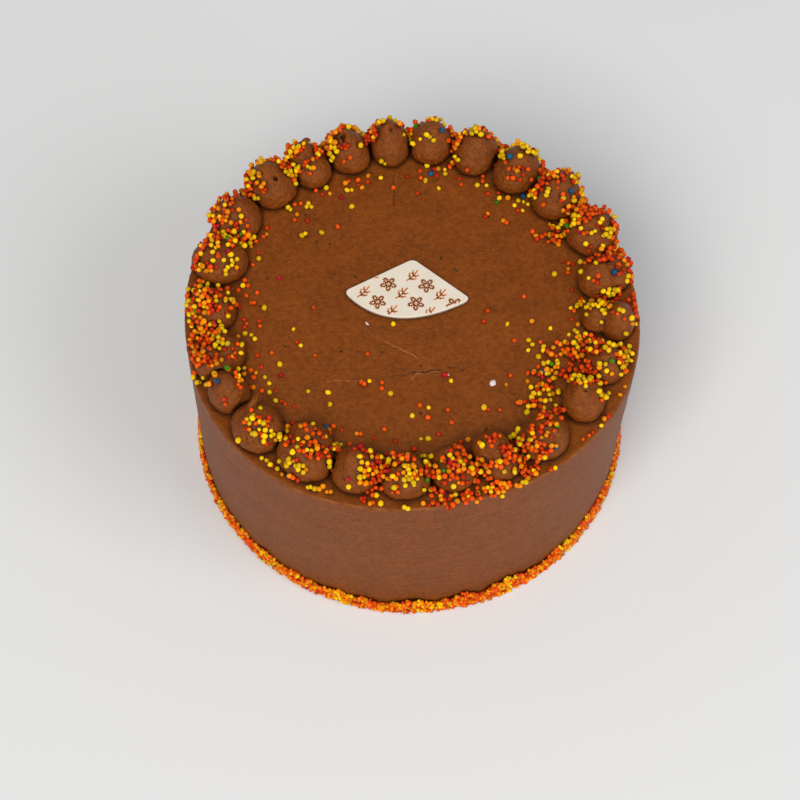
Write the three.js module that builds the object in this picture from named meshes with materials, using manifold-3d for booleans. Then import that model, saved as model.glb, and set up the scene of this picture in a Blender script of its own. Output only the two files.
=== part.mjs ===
// A 15 cm chocolate buttercream birthday cake: a frosted drum, a ring of piped dollops round its top
// edge, a thin white chocolate plaque, and sugar beads over the dollops and in a band round the foot.
// Millimetres, +Z up. The origin is the centre of the underside, which is what the cake rests on.
// Bearings are degrees clockwise from the back (+Y) as seen from above, and reaches are distances
// from the middle.
import * as THREE from "three";
import { mergeVertices } from "three/addons/utils/BufferGeometryUtils.js";
import Module from "manifold-3d";

const wasm = await Module();
wasm.setup();

// The drum.
const CAKE_HEIGHT = 76.5;
const FOOT_RADIUS = 78.2;
const RIM_RADIUS = 79.9;
const RIM_ROUNDING = 1.5;
const DRUM_FACETS = 60;
const WALL_ROWS = 3;
const RIM_STEPS = 2;

// Room left between neighbouring pieces.
const GAP = 0.35;

// How far the hand-smoothed rim stands out of true round, as waves of so many lobes with one at a
// bearing.
const RIM_WAVES = [
  { lobes: 1, at: 10, swing: 0.85 },
  { lobes: 2, at: 85, swing: 0.65 },
  { lobes: 3, at: -16, swing: 0.75 },
  { lobes: 4, at: 32, swing: 0.6 },
];

// The piped dollops, clockwise from the one just left of the back: where each stands, whether it was
// drawn up to a peak, and its one or two lobes as [clockwise, inward, across, deep, tall, lean
// clockwise, lean inward].
const DOLLOPS = [
  { bearing: -6.5, reach: 71, peaked: true, lobes: [[0, 0, 15.5, 17, 14, -1, -2.5]] },
  { bearing: 5.5, reach: 71.5, lobes: [[0, 0, 16, 16, 12.5, 0, -1.5]] },
  { bearing: 19, reach: 71, lobes: [[0, 0, 16, 18, 13, 0, -1]] },
  { bearing: 32.5, reach: 70.5, lobes: [[0, 0, 17, 18.5, 13, 0.5, -1.5]] },
  { bearing: 47.5, reach: 71, lobes: [[0, 0, 18.5, 18, 13.5, -1, -1.5]] },
  { bearing: 63, reach: 72.5, lobes: [[0, 0, 18.5, 18.5, 12, -1, -0.5]] },
  { bearing: 78, reach: 69, lobes: [[0, 1, 15.5, 15.5, 12, 0, 0], [-0.5, -4, 13.5, 14, 11, 0, 0]] },
  { bearing: 92.5, reach: 70.5, lobes: [[0.5, -2.5, 15, 12, 11.5, 0, 0], [-1, 5, 12, 10, 9, 0, 0]] },
  { bearing: 107.5, reach: 71, lobes: [[0, 0, 15, 13.5, 11.5, 0, 0]] },
  { bearing: 120.5, reach: 70.5, peaked: true, lobes: [[0, 0, 16.5, 15, 13, 0.5, 2.5]] },
  { bearing: 137.5, reach: 68.5, lobes: [[0, 0, 18.5, 17, 12, 0, 0]] },
  { bearing: 153, reach: 66, lobes: [[-0.5, -2, 15, 13.5, 10.5, 0, 0], [0.5, 3, 14.5, 13, 13.5, 0, 0]] },
  { bearing: 166.5, reach: 65.5, lobes: [[0, -1, 15.5, 14, 11.5, 0, 0], [0.5, 3, 13, 11, 12.5, 0, 0]] },
  { bearing: 180.5, reach: 66.5, lobes: [[0, -1, 17, 14.5, 12, 0, 0], [0.5, 3, 13, 11, 12.5, 0, 0]] },
  { bearing: 195, reach: 66.5, lobes: [[0, 0, 17.5, 17, 13.5, 0, 1]] },
  { bearing: 210, reach: 67, lobes: [[0.5, -1.5, 20.5, 18, 12, 0, 0], [2, 4, 17, 14, 13, 0, 0]] },
  {
    bearing: 227,
    reach: 70.5,
    lobes: [[0, 0, 19.5, 18, 11, 0, 1]],
    tail: { from: [4.2, -0.6, 7.5], to: [7.8, 7.6, 9.8] },
  },
  { bearing: 241, reach: 71, lobes: [[0, 0, 16.5, 14.5, 12.5, 0, 0]] },
  { bearing: 252.5, reach: 69, lobes: [[-1.5, -2.5, 14, 13, 10.5, 0, 0], [1.5, 3, 14, 13, 11.5, 0, 0]] },
  { bearing: 269, reach: 69.5, lobes: [[0, 0, 17, 17, 11.5, 0, 0]] },
  { bearing: 286, reach: 70.5, lobes: [[0, 0, 17.5, 20.5, 11, 0, 0]] },
  { bearing: 301, reach: 72.5, lobes: [[0, 0, 17, 18, 11.5, 0.5, -2]] },
  { bearing: 316, reach: 72.5, peaked: true, lobes: [[0, 0, 18.5, 18.5, 13.5, -1, -2.5]] },
  { bearing: 328.5, reach: 70, lobes: [[0, 1, 13.5, 14.5, 11, 0, 0], [-1, -3.5, 12, 12, 14, 0, -1]] },
  { bearing: 341, reach: 70.5, peaked: true, lobes: [[0, 0, 15, 17.5, 14.5, -1, -2.5]] },
];
const DOLLOP_FACETS = 12;
const LEAN_CURVE = 1.6;
const TAIL_RADII = [1.5, 0.6];

// The plaque: two straight edges meet at the top corner, and one shallow arc joins the side corners.
const PLAQUE = { top: [1.7, 22.3], left: [-22.9, 8.3], right: [21.6, 5.7], belly: [-4.1, -2.2] };
const PLAQUE_THICKNESS = 1.4;
const PLAQUE_CORNER = 2.2;
const PLAQUE_EDGE = 0.3;

// The sugar beads. A bead with few faces is drawn a little large, so that it is as wide as a ball.
const BEAD_RADIUS = 1.05;
const BEAD_SWELL = 1.12;
const BEAD_SINK = 0.4;
const BAND_WIDTH = 1.9;
const BAND_HEIGHT = 3.6;
const BAND_BEADS = 108;

const COLOURS = {
  frosting: 0x86502f,
  piped: 0x8a5033,
  plaque: 0xe6dcc8,
  beads: 0xe2761f,
};

// Repeatable random numbers from 0 to 1.
function seededRandom(seed) {
  let state = seed >>> 0;
  return () => {
    state = (state + 0x6d2b79f5) >>> 0;
    let mixed = Math.imul(state ^ (state >>> 15), state | 1);
    mixed ^= mixed + Math.imul(mixed ^ (mixed >>> 7), mixed | 61);
    return ((mixed ^ (mixed >>> 14)) >>> 0) / 4294967296;
  };
}

const radians = THREE.MathUtils.degToRad;

function polar(bearing, reach, height = 0) {
  const angle = radians(bearing);
  return new THREE.Vector3(reach * Math.sin(angle), reach * Math.cos(angle), height);
}

function bearingOf(x, y) {
  return THREE.MathUtils.radToDeg(Math.atan2(x, y));
}

// A closed geometry becomes a solid that can be joined and cut.
function toSolid(geometry) {
  const bare = new THREE.BufferGeometry();
  bare.setAttribute("position", geometry.getAttribute("position").clone());
  if (geometry.index) bare.setIndex(geometry.index.clone());
  const welded = mergeVertices(bare, 1e-4);
  const corners = welded.index.array;
  const kept = [];
  for (let i = 0; i < corners.length; i += 3) {
    const [a, b, c] = [corners[i], corners[i + 1], corners[i + 2]];
    if (a !== b && b !== c && c !== a) kept.push(a, b, c);
  }
  return new wasm.Manifold(new wasm.Mesh({
    numProp: 3,
    vertProperties: new Float32Array(welded.getAttribute("position").array),
    triVerts: new Uint32Array(kept),
  }));
}

// A solid becomes a named mesh of the cake.
function toMesh(solid, name, colour, roughness) {
  const { vertProperties, triVerts } = solid.getMesh();
  const geometry = new THREE.BufferGeometry();
  geometry.setAttribute("position", new THREE.BufferAttribute(vertProperties, 3));
  geometry.setIndex(new THREE.BufferAttribute(triVerts, 1));
  geometry.computeVertexNormals();
  const material = new THREE.MeshStandardMaterial({ color: colour, roughness, metalness: 0 });
  const mesh = new THREE.Mesh(geometry, material);
  mesh.name = name;
  return mesh;
}

// Each vertex of a geometry goes to a new place.
function reshape(geometry, move) {
  const position = geometry.getAttribute("position");
  const point = new THREE.Vector3();
  for (let i = 0; i < position.count; i += 1) {
    move(point.fromBufferAttribute(position, i));
    position.setXYZ(i, point.x, point.y, point.z);
  }
  return geometry;
}

// A profile of [radius, height] pairs spun round Z.
function spin(profile, facets) {
  const outline = profile.map(([radius, height]) => new THREE.Vector2(radius, height));
  return new THREE.LatheGeometry(outline, facets).rotateX(Math.PI / 2);
}

// The wall's unevenness grows from nothing at the foot to the full waves at the rim.
function wallWave(bearing, height) {
  const wave = RIM_WAVES.reduce(
    (sum, { lobes, at, swing }) => sum + swing * Math.cos(radians(lobes * (bearing - at))),
    0,
  );
  return wave * Math.max(0, height / CAKE_HEIGHT);
}

// The frosted drum: a nearly upright wall, a softly rounded rim and a flat top.
function drum() {
  const profile = [[0, 0]];
  for (let row = 0; row < WALL_ROWS; row += 1) {
    const share = row / WALL_ROWS;
    profile.push([THREE.MathUtils.lerp(FOOT_RADIUS, RIM_RADIUS, share), share * CAKE_HEIGHT]);
  }
  for (let step = 0; step <= RIM_STEPS; step += 1) {
    const angle = 0.5 * Math.PI * step / RIM_STEPS;
    profile.push([
      RIM_RADIUS - RIM_ROUNDING * (1 - Math.cos(angle)),
      CAKE_HEIGHT - RIM_ROUNDING * (1 - Math.sin(angle)),
    ]);
  }
  profile.push([0, CAKE_HEIGHT]);
  const geometry = reshape(spin(profile, DRUM_FACETS), (point) => {
    const reach = Math.hypot(point.x, point.y);
    if (reach < 1) return;
    const stretch = (reach + wallWave(bearingOf(point.x, point.y), point.z)) / reach;
    point.x *= stretch;
    point.y *= stretch;
  });
  return toSolid(geometry);
}

// Thin crests that the palette knife left on the top, as three-sided bars from start to end.
const KNIFE_MARKS = [
  { from: [-31, -27.5], to: [0.5, -25.5] },
  { from: [2, -25.5], to: [21.5, -21.5] },
  { from: [-20, -3], to: [3, -18.5] },
  { from: [-6.5, 59], to: [-7, 47] },
];
const MARK_WIDTH = 1.2;
const MARK_HEIGHT = 0.5;
const MARK_SINK = 0.3;

function knifeMark({ from, to }) {
  const section = new THREE.Shape([
    new THREE.Vector2(-MARK_WIDTH / 2, -MARK_SINK),
    new THREE.Vector2(MARK_WIDTH / 2, -MARK_SINK),
    new THREE.Vector2(0, MARK_HEIGHT),
  ]);
  const start = new THREE.Vector3(...from, CAKE_HEIGHT);
  const along = new THREE.Vector3(to[0] - from[0], to[1] - from[1], 0);
  const bar = new THREE.ExtrudeGeometry(section, { depth: along.length(), bevelEnabled: false });
  const forward = along.normalize();
  const up = new THREE.Vector3(0, 0, 1);
  const across = new THREE.Vector3().crossVectors(up, forward);
  const frame = new THREE.Matrix4().makeBasis(across, up, forward).setPosition(start);
  return toSolid(bar.applyMatrix4(frame));
}

// A lobe's outline as shares of its half width and of its height: pressed flat on the cake, fullest
// low down, and either round to its blunt top or drawn in to a peak.
const ROUND_OUTLINE = [
  [0, 0], [0.9, 0], [1, 0.22], [0.97, 0.45], [0.84, 0.67], [0.57, 0.85], [0.22, 0.96], [0, 1],
];
const PEAKED_OUTLINE = [
  [0, 0], [0.9, 0], [1, 0.2], [0.94, 0.4], [0.73, 0.61], [0.44, 0.8], [0.22, 0.95], [0, 1],
];

// One lobe of a dollop, with X clockwise and Y outward from the dollop's place.
function lobe(outline, [along, inward, across, deep, tall, leanAlong, leanIn], wobble) {
  return reshape(spin(outline, DOLLOP_FACETS), (point) => {
    const turn = Math.atan2(point.y, point.x);
    const swell = 1 + 0.025 * Math.cos(2 * turn + wobble) + 0.015 * Math.cos(3 * turn + 2 * wobble);
    const drift = Math.max(0, point.z) ** LEAN_CURVE;
    point.x = point.x * swell * across / 2 + along + leanAlong * drift;
    point.y = point.y * swell * deep / 2 - inward - leanIn * drift;
    point.z *= tall;
  });
}

// The drawn-out tail of cream where the nozzle lifted off, from and to [clockwise, inward, up].
function tail({ from, to }) {
  const [start, end] = [from, to].map(([along, inward, up]) => new THREE.Vector3(along, -inward, up));
  const way = end.clone().sub(start);
  const [thick, thin] = TAIL_RADII;
  const cone = new THREE.CylinderGeometry(thin, thick, way.length(), 7);
  const turn = new THREE.Quaternion().setFromUnitVectors(
    new THREE.Vector3(0, 1, 0),
    way.clone().normalize(),
  );
  const middle = start.add(end).multiplyScalar(0.5);
  return cone.applyQuaternion(turn).translate(middle.x, middle.y, middle.z);
}

const dollopSpan = ({ lobes }) => Math.max(
  ...lobes.map(([along, , across]) => across + 2 * Math.abs(along)),
);
const dollopPlace = ({ bearing, reach }) => polar(bearing, reach, CAKE_HEIGHT + GAP);

// Dollops touch their neighbours on an upright plane, so what passes it is pressed back.
function pressApart(geometry, dollop, neighbours) {
  const centre = dollopPlace(dollop);
  const planes = neighbours.map((other) => {
    const normal = dollopPlace(other).sub(centre);
    const share = dollopSpan(dollop) / (dollopSpan(dollop) + dollopSpan(other));
    const limit = normal.length() * share - GAP / 2;
    return { normal: normal.normalize(), limit };
  });
  return reshape(geometry, (point) => {
    for (const { normal, limit } of planes) {
      const past = point.dot(normal) - limit;
      if (past > 0) point.addScaledVector(normal, -past);
    }
  });
}

function pipe(index, random) {
  const dollop = DOLLOPS[index];
  const neighbours = [DOLLOPS.at(index - 1), DOLLOPS[(index + 1) % DOLLOPS.length]];
  const wobble = 2 * Math.PI * random();
  const outline = dollop.peaked ? PEAKED_OUTLINE : ROUND_OUTLINE;
  const parts = dollop.lobes.map((shape, order) => lobe(outline, shape, wobble + order));
  if (dollop.tail) parts.push(tail(dollop.tail));
  const solids = parts.map((part) => {
    const turned = part.rotateZ(-radians(dollop.bearing));
    return toSolid(pressApart(turned, dollop, neighbours).translate(...dollopPlace(dollop).toArray()));
  });
  return solids.reduce((joined, solid) => joined.add(solid));
}

// The plaque's outline: rounded corners, two straight edges and the arc through the belly point.
function plaqueShape() {
  const [top, left, right, belly] = ["top", "left", "right", "belly"].map(
    (corner) => new THREE.Vector2(...PLAQUE[corner]),
  );
  const towards = (from, to, distance) => to.clone().sub(from).setLength(distance).add(from);
  const shape = new THREE.Shape();
  const start = towards(left, top, PLAQUE_CORNER);
  const beforeTop = towards(top, left, PLAQUE_CORNER);
  const afterTop = towards(top, right, PLAQUE_CORNER);
  const beforeRight = towards(right, top, PLAQUE_CORNER);
  const control = belly.clone().multiplyScalar(2).sub(left.clone().add(right).multiplyScalar(0.5));
  const arc = new THREE.QuadraticBezierCurve(right, control, left);
  const arcStart = arc.getPoint(0.05);
  const arcEnd = arc.getPoint(0.95);
  shape.moveTo(start.x, start.y);
  shape.lineTo(beforeTop.x, beforeTop.y);
  shape.quadraticCurveTo(top.x, top.y, afterTop.x, afterTop.y);
  shape.lineTo(beforeRight.x, beforeRight.y);
  shape.quadraticCurveTo(right.x, right.y, arcStart.x, arcStart.y);
  shape.quadraticCurveTo(control.x, control.y, arcEnd.x, arcEnd.y);
  shape.quadraticCurveTo(left.x, left.y, start.x, start.y);
  return shape;
}

function plaque() {
  const geometry = new THREE.ExtrudeGeometry(plaqueShape(), {
    depth: PLAQUE_THICKNESS - 2 * PLAQUE_EDGE,
    bevelEnabled: true,
    bevelThickness: PLAQUE_EDGE,
    bevelSize: PLAQUE_EDGE,
    bevelOffset: -PLAQUE_EDGE,
    bevelSegments: 1,
    curveSegments: 5,
  });
  return toSolid(geometry.translate(0, 0, CAKE_HEIGHT + GAP + PLAQUE_EDGE));
}

// One sugar bead: a slightly flattened ball with few faces, turned at random.
function bead(centre, random, size = BEAD_RADIUS) {
  const ball = new THREE.OctahedronGeometry(BEAD_SWELL * size, 0);
  ball.scale(1, 1, 0.85 + 0.15 * random());
  ball.rotateX(Math.PI * random()).rotateZ(Math.PI * random());
  return toSolid(ball.translate(centre.x, centre.y, centre.z));
}

// How thick the band of beads is at a bearing, as a share of its usual thickness. It is heaped
// highest along the front.
function raggedness(bearing) {
  const heaped = 1.15 - 0.3 * Math.cos(radians(bearing));
  return heaped + 0.14 * Math.sin(radians(7 * bearing)) + 0.1 * Math.sin(radians(17 * bearing));
}

// The heap of beads round the foot: a low uneven ring of packed beads, with beads standing out of it
// by turns low on its outside and high against the wall.
function beadBand(random) {
  const inside = FOOT_RADIUS + GAP;
  const profile = [
    [inside, 0],
    [inside + BAND_WIDTH, 0],
    [inside + BAND_WIDTH, 0.45 * BAND_HEIGHT],
    [inside + 0.6 * BAND_WIDTH, BAND_HEIGHT],
    [inside, BAND_HEIGHT],
    [inside, 0],
  ];
  const core = reshape(spin(profile, DRUM_FACETS), (point) => {
    const bearing = bearingOf(point.x, point.y);
    const reach = Math.hypot(point.x, point.y);
    const ragged = raggedness(bearing);
    point.z *= ragged;
    const swell = 0.25 * (reach - inside) * (ragged - 1);
    const stretch = (reach + wallWave(bearing, point.z) + swell) / reach;
    point.x *= stretch;
    point.y *= stretch;
  });
  let solid = toSolid(core);
  for (let i = 0; i < BAND_BEADS; i += 1) {
    const bearing = 360 * (i + 0.5 * random()) / BAND_BEADS;
    const upper = i % 2 === 1;
    const reach = inside + (upper ? BEAD_RADIUS + 0.15 : BAND_WIDTH - 0.1) + 0.2 * random();
    const height = upper
      ? BAND_HEIGHT * raggedness(bearing) + 0.3 * (random() - 0.5)
      : BEAD_RADIUS * (1.05 + 0.8 * random());
    solid = solid.add(bead(polar(bearing, reach + wallWave(bearing, height), height), random));
  }
  return solid;
}

// Handfuls of beads thrown over the ring: bearing, how far each way they spread in degrees, reach,
// spread of the reach, and count.
const HANDFULS = [
  { bearing: 262, spread: 13, reach: 70, scatter: 8, count: 32 },
  { bearing: 287, spread: 8, reach: 71, scatter: 8, count: 10 },
  { bearing: 308, spread: 10, reach: 75, scatter: 5, count: 11 },
  { bearing: 333, spread: 10, reach: 74, scatter: 5, count: 15 },
  { bearing: 12, spread: 14, reach: 74, scatter: 5, count: 12 },
  { bearing: 52, spread: 13, reach: 74, scatter: 6, count: 17 },
  { bearing: 82, spread: 12, reach: 70, scatter: 8, count: 13 },
  { bearing: 113, spread: 13, reach: 62, scatter: 12, count: 30 },
  { bearing: 143, spread: 10, reach: 67, scatter: 7, count: 17 },
  { bearing: 168, spread: 12, reach: 67, scatter: 6, count: 21 },
  { bearing: 193, spread: 12, reach: 68, scatter: 6, count: 12 },
  { bearing: 218, spread: 13, reach: 67, scatter: 7, count: 11 },
  { bearing: 180, spread: 60, reach: 48, scatter: 8, count: 10 },
  { bearing: 0, spread: 100, reach: 52, scatter: 7, count: 10 },
];
const DROP_HEIGHT = 60;

// Beads fall straight down and stick to whatever they meet first. Each is joined to that piece and
// stays clear of every other; one that can't is skipped.
function throwBeads(solids, meshes, random) {
  const ray = new THREE.Raycaster();
  const down = new THREE.Vector3(0, 0, -1);
  const names = Object.keys(solids);
  const spots = [];
  for (const { bearing, spread, reach, scatter, count } of HANDFULS) {
    for (let i = 0; i < count; i += 1) {
      const even = ((i + random()) / count) * 2 - 1;
      const across = random() + random() - 1;
      const above = polar(bearing + spread * even, reach + scatter * across, CAKE_HEIGHT + DROP_HEIGHT);
      ray.set(above, down);
      const [hit] = ray.intersectObjects(meshes, false);
      if (!hit || hit.point.z < CAKE_HEIGHT - BEAD_RADIUS / 2) continue;
      const centre = hit.point.clone().addScaledVector(hit.face.normal, BEAD_RADIUS - BEAD_SINK);
      if (spots.some((spot) => spot.distanceTo(centre) < 2.1 * BEAD_RADIUS)) continue;
      const home = hit.object.name;
      const halo = bead(centre, () => 1, BEAD_RADIUS * 1.1 + GAP);
      const crowded = names.some((name) => name !== home && !halo.intersect(solids[name]).isEmpty());
      if (crowded) continue;
      spots.push(centre);
      solids[home] = solids[home].add(bead(centre, random));
    }
  }
}

// The cake, put together from the drum up.
const cake = new THREE.Group();
const solids = {};
const looks = {};

function keep(name, solid, colour, roughness) {
  solids[name] = solid;
  looks[name] = { colour, roughness };
}

let frosted = drum();
for (const mark of KNIFE_MARKS) frosted = frosted.add(knifeMark(mark));
keep("cake", frosted, COLOURS.frosting, 0.6);

const shapeRandom = seededRandom(11);
DOLLOPS.forEach((_, index) => {
  const name = `dollop_${String(index + 1).padStart(2, "0")}`;
  keep(name, pipe(index, shapeRandom), COLOURS.piped, 0.7);
});
keep("plaque", plaque(), COLOURS.plaque, 0.4);

const meshOf = (name) => toMesh(solids[name], name, looks[name].colour, looks[name].roughness);
throwBeads(solids, Object.keys(solids).map(meshOf), seededRandom(5));
keep("sprinkle_band", beadBand(seededRandom(3)), COLOURS.beads, 0.35);

for (const name of Object.keys(solids)) cake.add(meshOf(name));

export default cake;
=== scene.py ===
import math
import random

import bmesh
import bpy
import numpy as np
from mathutils import Matrix, Vector, noise
from mathutils.bvhtree import BVHTree


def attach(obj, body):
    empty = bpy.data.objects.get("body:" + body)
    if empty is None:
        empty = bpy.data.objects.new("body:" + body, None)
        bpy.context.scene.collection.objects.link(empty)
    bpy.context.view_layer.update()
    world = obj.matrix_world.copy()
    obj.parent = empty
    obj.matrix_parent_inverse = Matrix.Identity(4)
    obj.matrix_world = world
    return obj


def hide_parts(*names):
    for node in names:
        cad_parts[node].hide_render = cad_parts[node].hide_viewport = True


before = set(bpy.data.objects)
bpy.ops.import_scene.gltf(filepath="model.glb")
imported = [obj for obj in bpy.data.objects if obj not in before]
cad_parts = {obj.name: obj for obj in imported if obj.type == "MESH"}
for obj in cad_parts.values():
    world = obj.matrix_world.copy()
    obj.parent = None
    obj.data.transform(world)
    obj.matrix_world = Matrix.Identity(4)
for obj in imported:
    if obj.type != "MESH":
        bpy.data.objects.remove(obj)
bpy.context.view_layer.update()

# The frosted drum: a filled sponge cake under a coat of chocolate buttercream, turned smooth on
# the wall with a scraper and levelled on top with a palette knife, which left a few thin crests.
# It is one profile spun round the middle, then pushed in and out by the unevenness of the hand.

MM = 0.001
CAKE_HEIGHT = 76.5 * MM
FOOT_RADIUS = 78.2 * MM
RIM_RADIUS = 79.9 * MM
RIM_ROUNDING = 0.8 * MM
RIM_STEPS = 8
# How far the rim stands out of true round, as waves of so many lobes with one at a bearing.
RIM_WAVES = [(1, 10, 0.85), (2, 85, 0.65), (3, -16, 0.75), (4, 32, 0.6)]
SPIN_STEPS = 440
WALL_ROW = 1.35 * MM
TOP_ROW = 1.05 * MM
# Marks of the palette knife, in millimetres, each as points (x, y, strength).
KNIFE_CRESTS = [
    ((-18.5, -4, 0.15), (-14.5, -8.2, 0.35), (-10, -10.7, 0.4), (-6, -13.4, 0.9), (-1.5, -15.6, 0.8),
     (2, -18, 0.9), (4, -19.4, 0.2)),
    ((-28.5, -27.6, 0.3), (-24, -27.4, 0.7), (-20, -27.3, 0.8), (-15.5, -27.3, 0.2)),
    ((-9, -27.3, 0.3), (-7, -27.3, 0.5)),
    ((2.4, -25.2, 0.7), (1.2, -27.1, 0.8), (2.4, -28.8, 0.3)),
    ((2.4, -25.2, 0.9), (4.6, -25.1, 1), (9.7, -24.1, 0.9), (11.4, -24.2, 0.3)),
    ((-5.7, 60, 0.4), (-5.8, 55, 0.8), (-5.9, 50.5, 0.1)),
]
KNIFE_GROOVES = [
    ((-6.4, -26, 0.2), (-1.1, -25.5, 0.3), (0.9, -24.5, 0.8), (6.2, -24.2, 1), (9.7, -23.4, 1),
     (11.5, -23.2, 0.4)),
    ((14, -22.2, 0.6), (16.4, -21.5, 0.6)), ((17.7, -22.9, 0.4), (20.3, -21.1, 0.5)),
    ((14.5, -21, 0.5), (15.3, -21.2, 0.3)), ((-6.3, -15.2, 0.6), (-5, -14.6, 0.6)),
    ((-6.3, 59.6, 0.3), (-6.4, 52, 0.7), (-6.5, 46.4, 0.6)),
]
CREST_HEIGHT = 0.3 * MM
CREST_WIDTH = 0.26
GROOVE_DEPTH = 0.5 * MM
GROOVE_WIDTH = 0.38
# A mark wanders from its points, and fades and comes back along its way.
MARK_WANDER = (0.5, 2.5 * MM)
MARK_FADING = (1.1, 1.6 * MM, 5.0)
# The top's mesh is cut finer within this distance of a mark, again in millimetres.
REFINED_REACH = 1.3
REFINED_ROUNDS = 2
# Unevenness of the hand: how far the frosting swings in millimetres, the size of its waves, and a
# seed. Those of the scraper are drawn out round the cake, as if they stood at a smaller reach.
SCRAPED_WALL = (0.16, 5.5 * MM)
SCRAPED_REACH = 20 * MM
BROAD_WALL = (0.4, 26 * MM, 3.0)
RAGGED_RIM = (0.4, 5 * MM, 8.0)
FRAYED_RIM = (0.35, 1.6 * MM)
LEVELLED_TOP = (0.3, 21 * MM, 5.0)
RINGED_TOP = (0.1, 4 * MM)
RINGED_REACH = 15 * MM
# The low lip that the scraper pushed up just inside the rim, and the painted highlight, a lighter line, on
# the rim's edge.
LIP_HEIGHT = 0.3
LIP_INSET = 1.2 * MM
LIP_WIDTH = 1.0 * MM
LIP_WAVES = (11 * MM, 2.0)
RIM_EDGE_HIGHLIGHT = 3.0
RIM_HIGHLIGHT_WAVES = (4 * MM, 12.0)
NEGLIGIBLE = 1e-5


def wall_wave(bearing, height):
    wave = sum(out * MM * math.cos(math.radians(lobes * (bearing - at))) for lobes, at, out in RIM_WAVES)
    return wave * max(0.0, height / CAKE_HEIGHT)


def wall_radius(height):
    return FOOT_RADIUS + (RIM_RADIUS - FOOT_RADIUS) * height / CAKE_HEIGHT


def bearing_of(x, y):
    return math.degrees(math.atan2(x, y))


def polar(bearing, reach, height=0.0):
    angle = math.radians(bearing)
    return Vector((reach * math.sin(angle), reach * math.cos(angle), height))


def wavy(place, size, seed=0.0):
    return noise.noise(Vector(place) / size + Vector((seed, seed * 1.7, -seed)))


def swing(place, amount, size, seed=0.0):
    return amount * wavy(place, size, seed)


def spin_profile(bm, profile, steps):
    verts = [bm.verts.new((radius, 0, height)) for radius, height in profile]
    edges = [bm.edges.new(pair) for pair in zip(verts, verts[1:])]
    bmesh.ops.spin(bm, geom=verts + edges, cent=(0, 0, 0), axis=(0, 0, 1), angle=2 * math.pi,
                   steps=steps, use_merge=True)
    bmesh.ops.remove_doubles(bm, verts=bm.verts, dist=1e-6)
    bmesh.ops.recalc_face_normals(bm, faces=bm.faces)


def place_object(name, data):
    placed = bpy.data.objects.new(name, data)
    bpy.context.scene.collection.objects.link(placed)
    return placed


def finish_mesh(bm, name):
    for face in bm.faces:
        face.smooth = True
    mesh = bpy.data.meshes.new(name)
    bm.to_mesh(mesh)
    bm.free()
    return place_object(name, mesh)


def add_shares(mesh, name, shares):
    mesh.attributes.new(name, "FLOAT", "POINT").data.foreach_set("value", shares)


def path_distance(x, y, path):
    nearest, strength = 1000.0, 0.0
    for (ax, ay, a_strength), (bx, by, b_strength) in zip(path, path[1:]):
        share = ((x - ax) * (bx - ax) + (y - ay) * (by - ay)) / ((bx - ax) ** 2 + (by - ay) ** 2)
        share = max(0.0, min(1.0, share))
        distance = math.hypot(ax + share * (bx - ax) - x, ay + share * (by - ay) - y)
        if distance < nearest:
            nearest, strength = distance, a_strength + share * (b_strength - a_strength)
    return nearest, strength


def mark_share(point, paths, width):
    x = point.x / MM + swing(point, *MARK_WANDER)
    y = point.y / MM + swing(point, *MARK_WANDER, 3.0)
    share = 0.0
    for path in paths:
        distance, strength = path_distance(x, y, path)
        share = max(share, strength * math.exp(-(distance / width) ** 2))
    return share * max(0.0, 0.8 + swing(point, *MARK_FADING))


def refine_near_marks(bm):
    marks = KNIFE_CRESTS + KNIFE_GROOVES
    for _ in range(REFINED_ROUNDS):
        near = []
        for edge in bm.edges:
            x, y, z = (edge.verts[0].co + edge.verts[1].co) / 2
            if z < CAKE_HEIGHT - 0.1 * MM:
                continue
            if min(path_distance(x / MM, y / MM, path)[0] for path in marks) < REFINED_REACH:
                near.append(edge)
        bmesh.ops.subdivide_edges(bm, edges=near, cuts=1, use_grid_fill=True)


def drum_profile():
    wall_rows = round((CAKE_HEIGHT - RIM_ROUNDING) / WALL_ROW)
    profile = [(0, 0), (FOOT_RADIUS, 0)]
    for row in range(1, wall_rows):
        height = (CAKE_HEIGHT - RIM_ROUNDING) * row / wall_rows
        profile.append((wall_radius(height), height))
    for step in range(RIM_STEPS + 1):
        angle = math.radians(90 * step / RIM_STEPS)
        profile.append((
            RIM_RADIUS - RIM_ROUNDING * (1 - math.cos(angle)),
            CAKE_HEIGHT - RIM_ROUNDING * (1 - math.sin(angle)),
        ))
    flat = RIM_RADIUS - RIM_ROUNDING
    top_rows = round(flat / TOP_ROW)
    profile += [(flat * (1 - row / top_rows), CAKE_HEIGHT) for row in range(1, top_rows + 1)]
    return profile


def top_share(height):
    return max(0.0, min(1.0, (height - CAKE_HEIGHT + RIM_ROUNDING) / RIM_ROUNDING))


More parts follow.
